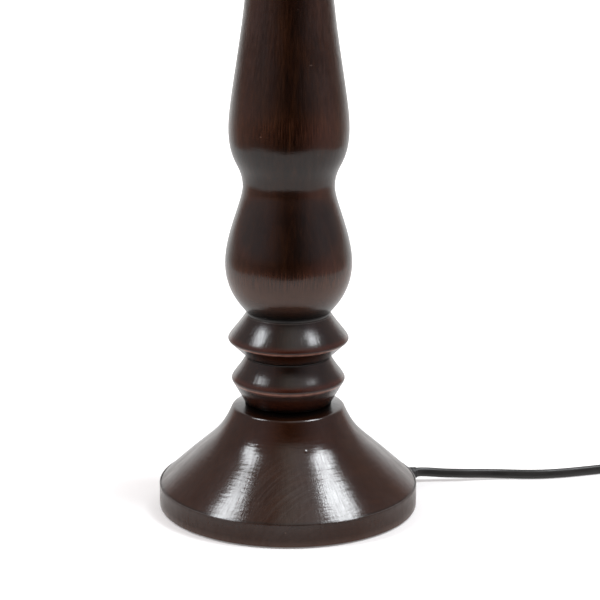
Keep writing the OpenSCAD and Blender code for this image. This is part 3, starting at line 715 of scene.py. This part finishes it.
def make_top_bead():
    height = 26
    low, peak, high = (22.3, 1.2), (31, 12.8), (20.6, 24.7)
    foot = [(22.0, 0), (22.3, 0.3)]
    top = [(20.5, 25.0), (20.2, 25.2), (20.1, height)]
    turned_wood(
        "top_bead", bead_outline(height, low, peak, high, foot, top), COLUMN_WOOD,
        red=[(30.4, 14.6, 1.6, 0.28)],
        wear=[(30.2, 11.8, 0.75, 0.75)],
        # Painted shade at the bead's foot
        grime=[(22, 0.4, 1.2, 1)],
    )


def make_column():
    height = 240
    start, bulb, waist = (24.3, 0.4), (36.3, 28.7), (26.2, 73.2)
    shoulder, neck, cushion, end = (34.1, 106.5), (23, 209), (28, 228.5), (22.3, 239.4)
    outline = [(TUBE_HOLE, 0), (24.1, 0), start]
    for a, b, pull_a, pull_b, steps in [
        (start, bulb, (0.02, 0.05), (0, 0.64), 30),
        (bulb, waist, (0, 0.38), (0, 0.2), 30),
        (waist, shoulder, (0, 0.39), (0, 0.63), 28),
        (shoulder, neck, (0, 0.18), (0, 0.39), 30),
        (neck, cushion, (0, 0.4), (0, 0.5), 16),
        (cushion, end, (0, 0.6), (0.1, 0.1), 12),
    ]:
        outline += [*curve(a, b, pull_a, pull_b, steps)[1:]]
    outline += [(22.1, height), (TUBE_HOLE, height)]
    turned_wood(
        "column", outline, COLUMN_WOOD,
        thin=[(36, 26, 6, 0.19), (34, 110, 10, 0.12), (28, 165, 45, 0.025), (28, 228.5, 5, 0.12)],
        rubbed=[(35, 16, 10, 0.36), (26.5, 73, 9, 0.05), (28, 228.5, 4, 0.08)],
        # Painted shade under the bulb and at the column's top joint
        grime=[(24.2, 0, 6.5, 1), (22.3, 239.8, 1.5, 1)],
        dull=[(25.5, 2, 4.5, 0.4)],
        streaked=[(28, 165, 45, 1)],
    )


def make_foot():
    rim, rim_edge, rim_top, height = 75, 73.9, 13.3, 61.5
    underside, hollow, hollow_top, pocket, pocket_top = 0.8, 54, 10, 36, 36.5
    bush_z, bush_hole, bush_seat = CORD_EXIT[2], 3.95, 4.95
    cone = curve((74.2, 13.15), (31.91, 60.14), (0.69, 0.61), (0.21, 0.45), 70)
    cone = cone[cone[:, 1] < 58.3]
    groove, brow, ledge = (74.25, 12.8), (32.1, 59.5), (24.9, height)
    outline = [
        (TUBE_HOLE, pocket_top), (pocket, pocket_top), (pocket, hollow_top), (hollow, hollow_top),
        (hollow, underside), (73.4, underside), (rim_edge, 0.1),
        *corner((rim_edge, 0.05), (rim, 0.05), (rim, rim_top), 0.4, 4), (rim, 4), (rim, 8), (rim, 11),
        *corner((rim, 0), (rim, rim_top), (0, rim_top), 0.6, 6), groove, *cone,
        *corner(cone[-1], brow, ledge, 1.3, 8), *np.linspace((30.3, 60), ledge, 8), (TUBE_HOLE, height),
    ]
    foot = turned_wood(
        "foot", outline, FOOT_WOOD,
        rubbed=[(rim, 5, 9, 0.10), (rim, 0.6, 1.3, 0.35)],
        # Painted shade in the crease under the cone, and on the foot's top round the column
        grime=[(74.3, 12.95, 0.5, 0.9), (26.3, 61.1, 4.4, 1)],
        dull=[(rim, 5, 7, 0.4)],
    )
    drill(foot, (hollow - 5, 0, bush_z), (rim + 5, 0, bush_z), bush_hole)
    drill(foot, (rim - 1, 0, bush_z), (rim + 5, 0, bush_z), bush_seat)


make_lower_bead()
make_upper_bead()
make_top_bead()
make_column()
make_foot()


# Metal and the lampholder

HOLDER_Z = base_of("holder_cap")
FINE_SEGMENTS = 144
RING_PITCH = 2.5
SHELL_PITCH = 3.63


def at_height(z):
    return Matrix.Translation((0, 0, z * MM))


def ribs(count, depth, least_r):
    """Upright ribs on whatever part of a turned piece lies outside a radius."""
    def warp(r, a, z):
        wave = 0.5 - 0.5 * np.cos(count * a)
        return np.where(r > least_r, r - depth * wave**2, r), z
    return warp


def thread(pitch, depth, low, high, least_r, most_r, fade_over):
    """A screw thread on the walls between two radii, from one height to another, with ends that fade
    over a height. It is cut inwards by its depth, or outwards where that is negative."""
    def warp(r, a, z):
        wave = 0.5 - 0.5 * np.cos(2 * math.pi * (z / pitch) - a)
        fade = ease((z - low) / fade_over) * ease((high - z) / fade_over)
        inside = (r > least_r) & (r < most_r)
        return np.where(inside, r - depth * wave * fade, r), z
    return warp


def make_brass_cap():
    low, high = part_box("brass_cap")
    r, h = high.x / MM, (high.z - low.z) / MM
    bore, easing = 5.1, 0.2
    dome = curve((r, h * 0.3), (r * 0.55, h), (0, 0.6), (0.5, 0), 16)
    outline = [(bore, 0), (r - easing, 0), (r, easing), *dome, (bore, h)]
    add_piece(
        "turned_brass_cap", turn(outline, FINE_SEGMENTS), BRASS, ["brass_cap"],
        place=at_height(low.z / MM),
    )


def make_holder_cap():
    bore, wall_r, height = 5.02, 19.5, 24
    bar_hole, lock_hole, lock_z = 3.06, 1.52, HOLDER_Z + 2.85
    skirt = curve((9, 4.75), (wall_r, 13.5), (0.1, 0.5), (0, 0.5), 16)
    wall = [(wall_r, 13.9), (wall_r, 14.5), (wall_r, 23), (19.3, 23.8), (19, height)]
    inside = [(18.3, height), (18.3, 29), (16.4, 29), (16.4, 21), (14.9, 21), (14.9, 9.5), (bore, 9.5)]
    outline = [(bore, 0), (8.6, 0), (9, 0.4), *skirt, *wall, *inside]
    cap = add_piece(
        "holder_cap_shell", turn(outline, FINE_SEGMENTS), HOLDER, ["holder_cap"],
        place=at_height(HOLDER_Z),
    )
    low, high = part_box("push_bar")
    bar_z = (low.z + high.z) / 2 / MM
    drill(cap, (-25, 0, bar_z), (25, 0, bar_z), bar_hole)
    drill(cap, (0, -12, lock_z), (0, -4, lock_z), lock_hole)


def make_holder_sleeve():
    thread_r, flange_r = 19.75, 22.5
    walls = [(thread_r, z) for z in np.arange(9.3, 34.3, 0.25)]
    outline = [
        (18.4, 0), (21.9, 0), (flange_r, 0.6), (flange_r, 1.4), (flange_r, 7.6), (flange_r, 8.4),
        (21.9, 9), (thread_r, 9), *walls, (18.7, 35), (16.6, 35), (16, 34.4), (16, 8), (15.3, 8),
        (15.3, 5), (18.4, 5),
    ]
    cut_thread = thread(RING_PITCH, 0.75, 9.5, 34.2, 19.5, 20.2, RING_PITCH)
    knurl = ribs(72, 0.45, 22.2)

    def warp(r, a, z):
        r, z = cut_thread(r, a, z)
        return knurl(r, a, z)

    add_piece(
        "holder_thread_sleeve", turn(outline, 2 * FINE_SEGMENTS, warp), HOLDER,
        ["holder_sleeve"], place=at_height(base_of("holder_sleeve")),
    )


def make_shade_ring():
    thread_r, height = 19.88, 8
    scallop = 2 * math.pi / 12
    scoop_depth, scoop_width = 1.2, 0.062
    walls = [(thread_r, z) for z in np.arange(7.6, 0.3, -0.3)]
    outside = outline_of(
        (thread_r, 0, 0.2), (26.2, 0, 0.3), (27, 0.8, 0.5), (27, 2, 0.4), (23.28, 2.6, 0.8),
        (22.48, height, 0.4),
    )
    outline = [*outside, (20.2, height), *walls]
    cut_thread = thread(RING_PITCH, -0.6, 0.6, 7.6, 0, 20, 1.5)

    def warp(r, a, z):
        nearest = np.remainder(a + scallop / 2, scallop) - scallop / 2
        scoop = scoop_depth * np.exp(-((nearest / scoop_width) ** 4)) * ease((r - 23.6) / 2.2)
        r, z = cut_thread(r, a, z)
        return r - scoop, z

    add_piece(
        "scalloped_ring", turn(outline, 2 * FINE_SEGMENTS, warp), HOLDER,
        ["shade_ring"], "shade_ring", at_height(base_of("shade_ring")),
    )


def make_screw_shell():
    half_wall, thread_depth = 0.17, 0.42
    centre = [(14.9, 0.25), (13.3, 0.25), *corner((13.3, 0.25), (12.8, 0.3), (12.8, 4.2), 0.4, 3)]
    centre += [(12.8, 4.0), (13.2, 4.7), (13.75, 5.0)]
    centre += [(13.9, z) for z in np.arange(5.4, 24.4, 0.3)] + [(14.1, 24.8)]
    centre = np.array(centre)
    along = np.gradient(centre, axis=0)
    across = np.stack([along[:, 1], -along[:, 0]], axis=1) / np.linalg.norm(along, axis=1)[:, None]
    outline = np.vstack([centre + half_wall * across, (centre - half_wall * across)[::-1]])

    def warp(r, a, z):
        wave = np.cos(2 * math.pi * z / SHELL_PITCH - a)
        fade = ease((z - 5) / 2) * ease((25 - z) / 2)
        return r + thread_depth * wave * fade, z

    add_piece(
        "threaded_shell", turn(outline, FINE_SEGMENTS, warp), BRASS, ["screw_shell"],
        place=at_height(base_of("screw_shell")), crease=60,
    )


def make_push_knobs():
    low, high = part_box("push_knobs")
    z = (low.z + high.z) / 2 / MM
    length, r = 4, 4.2
    outline = [
        (0, 0), (r - 0.3, 0), (r, 0.3), (r, 2.2), *curve((r, 2.4), (2.4, length), (0, 0.7), (0.5, 0), 10),
        (1.6, length - 0.05), (0.8, length - 0.2), (0, length - 0.25),
    ]
    points, faces = turn(outline, 72, ribs(24, 0.25, 4.1))
    lying = points[:, [2, 1, 0]]
    left = lying * (-1, 1, 1) + (low.x / MM + length, 0, z)
    right = lying + (high.x / MM - length, 0, z)
    add_piece(
        "domed_knobs", join((left, faces), (right, faces)), HOLDER, ["push_knobs"],
        "push_switch",
    )


make_brass_cap()
make_holder_cap()
make_holder_sleeve()
make_shade_ring()
make_screw_shell()
make_push_knobs()


# The plug and the coil's ties

PLUG_PLACE = (
    Matrix.Translation(Vector(PLUG_AT) * MM)
    @ Matrix.Rotation(math.atan2(PLUG_AHEAD[1], PLUG_AHEAD[0]), 4, "Z")
)
ALONG_X = Matrix.Rotation(math.pi / 2, 4, "Y")
PLUG_TAIL = 20
PLUG_LENGTH = 34
PLUG_WIDTH = 35
PLUG_THICKNESS = 13.7
PIN_PITCH = 18.6
PIN_LENGTH = 19
PIN_SLEEVE = 10


def slab(outline, thickness, ease_by, steps=5):
    """Points and faces of a flat outline with a thickness and rounded edges, about z = 0."""
    outline = np.array(outline, float)
    low, high = outline.min(0), outline.max(0)
    centre, half = (low + high) / 2, (high - low) / 2
    rings = []
    for a in np.linspace(0, math.pi / 2, steps + 1):
        inset, rise = ease_by * (1 - math.sin(a)), ease_by * (1 - math.cos(a))
        ring = centre + (outline - centre) * (1 - inset / half)
        rings.append(np.column_stack([ring, np.full(len(ring), rise - thickness / 2)]))
    rings += [ring * (1, 1, -1) for ring in rings[::-1]]
    return np.vstack(rings), capped_skin(len(rings), len(outline))


def make_plug():
    half, start, end = PLUG_WIDTH / 2, PLUG_TAIL, PLUG_TAIL + PLUG_LENGTH
    low, middle = start + PLUG_LENGTH * 0.35, start + PLUG_LENGTH * 0.5
    side = [(start, 6, 1.5), (low, half - 2, 2.6), (middle, half, 2.4), (end, half, 1.6)]
    other_side = [(x, -y, rounding) for x, y, rounding in side]
    body = slab(outline_of(*other_side, *side[::-1]), PLUG_THICKNESS - 0.8, 2.2)
    bar = slab(rectangle((-0.9, -6), (0.9, 6), 0.7), PLUG_THICKNESS, 0.4, 2)
    bars = [moved(bar, (x, 0, 0)) for x in (32, 36, 40, 44)]
    add_piece(
        "plug_shell", join(body, *bars), SHEATH, ["plug_body"], place=PLUG_PLACE, crease=40
    )


def make_plug_tail():
    rings, low_r, high_r = 4, 3.9, 5.6
    pitch, ring_width, groove_depth = PLUG_TAIL / rings, 3, 0.7
    outline = [(0, 0)]
    for i in range(rings):
        r = low_r + (high_r - low_r) * i / rings
        z = i * pitch
        ring_end = z + ring_width
        outline += [
            *corner((0, z), (r, z), (r, ring_end), 0.5, 3),
            *corner((r, z), (r, ring_end), (0, ring_end), 0.5, 3),
            (r - groove_depth, ring_end + 0.1), (r - groove_depth, z + pitch - 0.1),
        ]
    outline.append((0, PLUG_TAIL + 2))
    add_piece(
        "plug_strain_relief", turn(outline, 64), SHEATH, ["plug_body"],
        place=PLUG_PLACE @ ALONG_X,
    )


def make_pins():
    start = PLUG_TAIL + PLUG_LENGTH
    pin_r, sleeve_r = 1.95, 2.0
    metal = [
        (0, -1), (pin_r, -1), (pin_r, PIN_LENGTH - 1.2), (1.7, PIN_LENGTH - 0.5), (1.1, PIN_LENGTH),
        (0, PIN_LENGTH),
    ]
    sleeve = [(1.96, -0.5), (sleeve_r, -0.5), (sleeve_r, PIN_SLEEVE - 0.2), (1.96, PIN_SLEEVE)]
    for name, outline, material, slot, node in [
        ("rounded_pins", metal, NICKEL, "nickel", "plug_pins"),
        ("pin_insulation", sleeve, RUBBER, "black_plastic", "pin_sleeves"),
    ]:
        points, faces = turn(outline, 48)
        points = points[:, [2, 1, 0]] * (1, 1, -1) + (start, 0, 0)
        pair = [moved((points, faces), (0, side * PIN_PITCH / 2, 0)) for side in (-1, 1)]
        add_piece(name, join(*pair), material, [node], place=PLUG_PLACE)


def make_ties():
    """Two straps round the coil's turns, each with its end lapped over itself."""
    inner, outer = 20.94, 40.26
    thickness, half_width, lap_thickness = 0.9, 4, 0.7
    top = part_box("coil_ties")[1].z / MM - thickness
    loop = rectangle((inner, thickness), (outer, top), 2.4)
    section = outline_of(
        (0, -half_width, 0.2), (thickness, -half_width, 0.3), (thickness, half_width, 0.3),
        (0, half_width, 0.2),
    )
    points = []
    for before, (x, z), after in zip(np.roll(loop, 1, axis=0), loop, np.roll(loop, -1, axis=0)):
        ahead_x, ahead_z = unit(after - before)
        points += [(x + out * ahead_z, y, z - out * ahead_x) for out, y in section]
    strap = points, skin(len(loop), len(section), closed=True)
    lap = rectangle((inner + 3, -half_width), (outer - 1.5, half_width), 1)
    flap = moved(slab(lap, lap_thickness, 0.2, 2), (0, 0, top + thickness + 0.3))
    points, faces = join(strap, flap)
    both = join((points, faces), (points * (-1, -1, 1), faces))
    place = Matrix.Translation((COIL_CENTRE[0] * MM, COIL_CENTRE[1] * MM, 0))
    add_piece("coil_straps", both, STRAP, ["coil_ties"], place=place, crease=50)


make_plug()
make_plug_tail()
make_pins()
make_ties()


# CAD nodes that stay: a finish, and eased edges on the hard ones

KEPT_NODES = [
    ("felt_pad", FELT, 0.2), ("ballast_disc", STEEL, 0.4), ("threaded_tube", STEEL, 0.1),
    ("base_washer", STEEL, 0.15), ("base_nut", BRASS, 0.4), ("top_nut", BRASS, 0.35),
    ("cord_bush", RUBBER, 0.15), ("cord_grip", RUBBER, 0.3), ("grip_screws", STEEL, 0.2),
    ("inner_lead", SHEATH, 0), ("live_core", BROWN, 0), ("neutral_core", BLUE, 0),
    ("tube_lock_screw", STEEL, 0.1), ("terminal_block", CERAMIC, 0.25), ("terminal_posts", BRASS, 0.15),
    ("terminal_screws", STEEL, 0.1), ("centre_contact", BRASS, 0.08), ("push_bar", HOLDER, 0.2),
    ("switch_collar", BRASS, 0.15),
]


def finish_node(name, material, eased_by):
    node = NODES[name]
    for slot in node.material_slots:
        slot.material = material
    if eased_by:
        weld = node.modifiers.new("weld", "WELD")
        weld.merge_threshold = 1e-6
        bevel = node.modifiers.new("eased_edges", "BEVEL")
        bevel.width = eased_by * MM
        bevel.segments = 3
        bevel.limit_method = "ANGLE"
        bevel.angle_limit = math.radians(40)
        bevel.harden_normals = True


for name, material, eased_by in KEPT_NODES:
    finish_node(name, material, eased_by)

on_the_lead = [
    "plug_shell", "plug_strain_relief", "rounded_pins", "pin_insulation", "coil_straps", "cord_bush",
]

# The coil and the plug lie just outside the picture, so the lacquer is kept from mirroring them
for piece in [mains_lead, *(bpy.data.objects[name] for name in on_the_lead)]:
    piece.visible_glossy = False


# Floor, mirrored card, lamps and surroundings, with sizes in metres

FLOOR_RADIUS = 14.0
CARD_HEIGHT = 0.001
TABLE_FRONT = 0.45
TABLE_HALF_WIDTH = 0.57
TABLE_SQUARENESS = 3.0
SOFTBOX_DISTANCE = 1.25
SOFTBOX_AIM = 0.08
SOFTBOX_COLOUR = (0.93, 0.97, 1.0)
SEEN_BACKDROP = (1.0, 1.0, 1.0)


def add_disc(name, height, paint):
    """A level disc of the stage."""
    turns = np.linspace(0, 2 * math.pi, 96, endpoint=False)
    rim = [(FLOOR_RADIUS * math.cos(a), FLOOR_RADIUS * math.sin(a), height) for a in turns]
    mesh = bpy.data.meshes.new(name)
    mesh.from_pydata(rim, [], [tuple(range(len(rim)))])
    mesh.materials.append(paint.material)
    disc = bpy.data.objects.new(name, mesh)
    bpy.context.scene.collection.objects.link(disc)
    return disc


def make_floor():
    """A pale table. It glows a little further out, where the lamps' light would fall off."""
    paint = Paint("floor_paint", Base_Color=(0.80, 0.80, 0.80, 1), Specular_IOR_Level=0.0)
    paint.set("Roughness", paint.between(paint.noise(paint.place, 3, 2), 0.3, 0.7, 0.85, 0.95))
    distance = paint.length(paint.place)
    near = paint.between(distance, 0.08, 0.14, 0.19, 0.36)
    far = paint.between(distance, 0.25, 1.0, 0.0, 0.6)
    paint.set("Emission Color", (1, 1, 1, 1))
    paint.set("Emission Strength", paint.math("ADD", near, far))
    add_disc("floor", 0, paint)


def make_mirrored_card():
    """What the lamp base mirrors low down: the table's plain top, and the room past its edges. The
    camera doesn't see it, and it neither shades nor lights what is matt."""
    paint = Paint("mirrored_card_paint", Base_Color=(0, 0, 0, 1), Specular_IOR_Level=0.0)
    out = paint.math("DIVIDE", paint.dot(paint.place, TOWARDS_CAMERA), TABLE_FRONT)
    out = paint.math("POWER", paint.math("MAXIMUM", out, 0.0), TABLE_SQUARENESS)
    aside = paint.math("ABSOLUTE", paint.dot(paint.place, CAMERA_RIGHT))
    aside = paint.math("POWER", paint.math("DIVIDE", aside, TABLE_HALF_WIDTH), TABLE_SQUARENESS)
    past_edge = paint.between(paint.math("ADD", out, aside), 0.95, 1.05)
    room = room_colour(paint, paint.place, ROOM_LOW)
    table = room_colour(paint, paint.place, TABLE_TOP)
    paint.set("Emission Color", paint.mix(past_edge, table, room))
    paint.set("Emission Strength", 1.0)
    card = add_disc("mirrored_card", CARD_HEIGHT, paint)
    card.visible_camera = False
    card.visible_diffuse = False
    card.visible_shadow = False


def room_colour(paint, way, sides):
    """A colour by the side of the camera that a direction points to."""
    turned_by = paint.math("ARCTAN2", paint.dot(way, CAMERA_RIGHT), paint.dot(way, TOWARDS_CAMERA))
    share = paint.math("MULTIPLY_ADD", turned_by, 0.5 / math.pi, 0.5)
    return paint.ramp(share, [(0.5 + side / 360, colour) for side, colour in sides])


def add_softbox(name, azimuth, elevation, width, height, radiance):
    """A lamp that faces the lamp base, at an azimuth right of the camera's side. Its angles are in
    degrees."""
    data = bpy.data.lights.new(name, "AREA")
    data.shape = "RECTANGLE"
    data.size, data.size_y = width, height
    data.energy = radiance * math.pi * width * height
    data.color = SOFTBOX_COLOUR
    a, e = math.radians(azimuth), math.radians(elevation)
    side = TOWARDS_CAMERA * math.cos(a) + CAMERA_RIGHT * math.sin(a)
    out = side * math.cos(e) + UP * math.sin(e)
    lamp = bpy.data.objects.new(name, data)
    lamp.location = out * SOFTBOX_DISTANCE + UP * SOFTBOX_AIM
    lamp.rotation_euler = out.to_track_quat("Z", "Y").to_euler()
    bpy.context.scene.collection.objects.link(lamp)


# What the lacquer mirrors, by degrees right of the camera's side: the table, the room low down,
# level and higher up, and the ceiling
TABLE_TOP = [
    (-180, (1.05, 1.05, 1.05)), (-120, (1.08, 1.07, 1.06)), (-60, (1.02, 1.00, 0.99)),
    (0, (0.96, 0.93, 0.92)), (60, (1.00, 0.97, 0.96)), (120, (1.08, 1.06, 1.05)),
    (180, (1.05, 1.05, 1.05)),
]
ROOM_LOW = [
    (-180, (1.35, 1.35, 1.35)), (-150, (1.32, 1.30, 1.28)), (-135, (0.95, 0.90, 0.87)),
    (-112, (0.60, 0.38, 0.32)), (-85, (0.60, 0.36, 0.30)), (-60, (0.42, 0.24, 0.20)),
    (-35, (0.22, 0.10, 0.08)), (-12, (0.02, 0.008, 0.005)), (15, (0.02, 0.008, 0.005)),
    (35, (0.30, 0.13, 0.11)), (64, (0.80, 0.44, 0.40)), (90, (0.80, 0.48, 0.43)),
    (112, (0.60, 0.40, 0.34)), (135, (0.95, 0.90, 0.87)), (150, (1.32, 1.30, 1.28)),
    (180, (1.35, 1.35, 1.35)),
]
ROOM_LEVEL = [
    (-180, (2.0, 2.0, 2.0)), (-150, (1.75, 1.71, 1.68)), (-142, (1.20, 1.00, 0.94)),
    (-135, (0.58, 0.38, 0.33)), (-115, (0.66, 0.42, 0.37)), (-90, (0.92, 0.54, 0.49)),
    (-60, (0.70, 0.43, 0.37)), (-40, (0.48, 0.25, 0.19)), (-27, (0.56, 0.26, 0.15)),
    (-15, (0.02, 0.008, 0.005)), (14, (0.005, 0.002, 0.002)), (30, (0.12, 0.06, 0.05)),
    (50, (0.52, 0.31, 0.27)), (78, (0.90, 0.54, 0.49)), (115, (0.62, 0.41, 0.36)),
    (135, (0.56, 0.37, 0.32)), (142, (1.20, 1.00, 0.94)), (150, (1.75, 1.71, 1.68)),
    (180, (2.0, 2.0, 2.0)),
]
ROOM_HIGH = [
    (-180, (1.8, 1.8, 1.8)), (-150, (1.45, 1.42, 1.41)), (-142, (1.05, 0.94, 0.92)),
    (-135, (0.50, 0.41, 0.39)), (-115, (0.52, 0.45, 0.44)), (-90, (0.60, 0.52, 0.52)),
    (-52, (0.58, 0.46, 0.46)), (-35, (0.42, 0.29, 0.28)), (-18, (0.22, 0.14, 0.12)),
    (0, (0.04, 0.03, 0.03)), (22, (0.10, 0.09, 0.09)), (45, (0.38, 0.32, 0.33)),
    (68, (0.60, 0.50, 0.51)), (100, (0.42, 0.38, 0.40)), (115, (0.52, 0.45, 0.44)),
    (135, (0.52, 0.43, 0.41)), (142, (1.05, 0.94, 0.92)), (150, (1.45, 1.42, 1.41)),
    (180, (1.8, 1.8, 1.8)),
]
CEILING = [
    (-180, (0.75, 0.72, 0.72)), (-120, (0.72, 0.68, 0.68)), (-62, (0.60, 0.52, 0.50)),
    (-34, (0.46, 0.36, 0.32)), (0, (0.92, 0.86, 0.78)), (30, (1.15, 1.07, 1.05)),
    (60, (1.10, 1.05, 1.05)), (110, (0.62, 0.60, 0.62)), (180, (0.75, 0.72, 0.72)),
]

# Where the room's level part gives way to the high one, and that to the ceiling: sines of elevation
HIGH_FROM = (0.03, 0.12)
CEILING_FROM = (0.66, 0.86)


def make_surroundings():
    world = bpy.data.worlds.new("studio")
    bpy.context.scene.world = world
    paint = Nodes(world)
    way = paint.new("TexCoord", "Generated", {})
    up = paint.new("SeparateXYZ", "Z", {0: way})
    level = room_colour(paint, way, ROOM_LEVEL)
    high = room_colour(paint, way, ROOM_HIGH)
    room = paint.mix(paint.between(up, *HIGH_FROM), level, high)
    room = paint.mix(paint.between(up, *CEILING_FROM), room, room_colour(paint, way, CEILING))
    to_eye = paint.new("LightPath", "Is Camera Ray", {})
    shown = paint.mix(to_eye, room, SEEN_BACKDROP)
    background = paint.nodes.new("ShaderNodeBackground")
    paint.feed(background.inputs["Color"], shown)
    output = paint.nodes.new("ShaderNodeOutputWorld")
    paint.links.new(background.outputs[0], output.inputs["Surface"])


make_floor()
make_mirrored_card()
add_softbox("softbox_left", -80.7, 51, 0.28, 0.40, 18.5)
add_softbox("softbox_right", 77.5, 57, 0.39, 0.36, 24)
make_surroundings()
bpy.context.scene.view_settings.view_transform = "Standard"
bpy.context.scene.view_settings.look = "None"
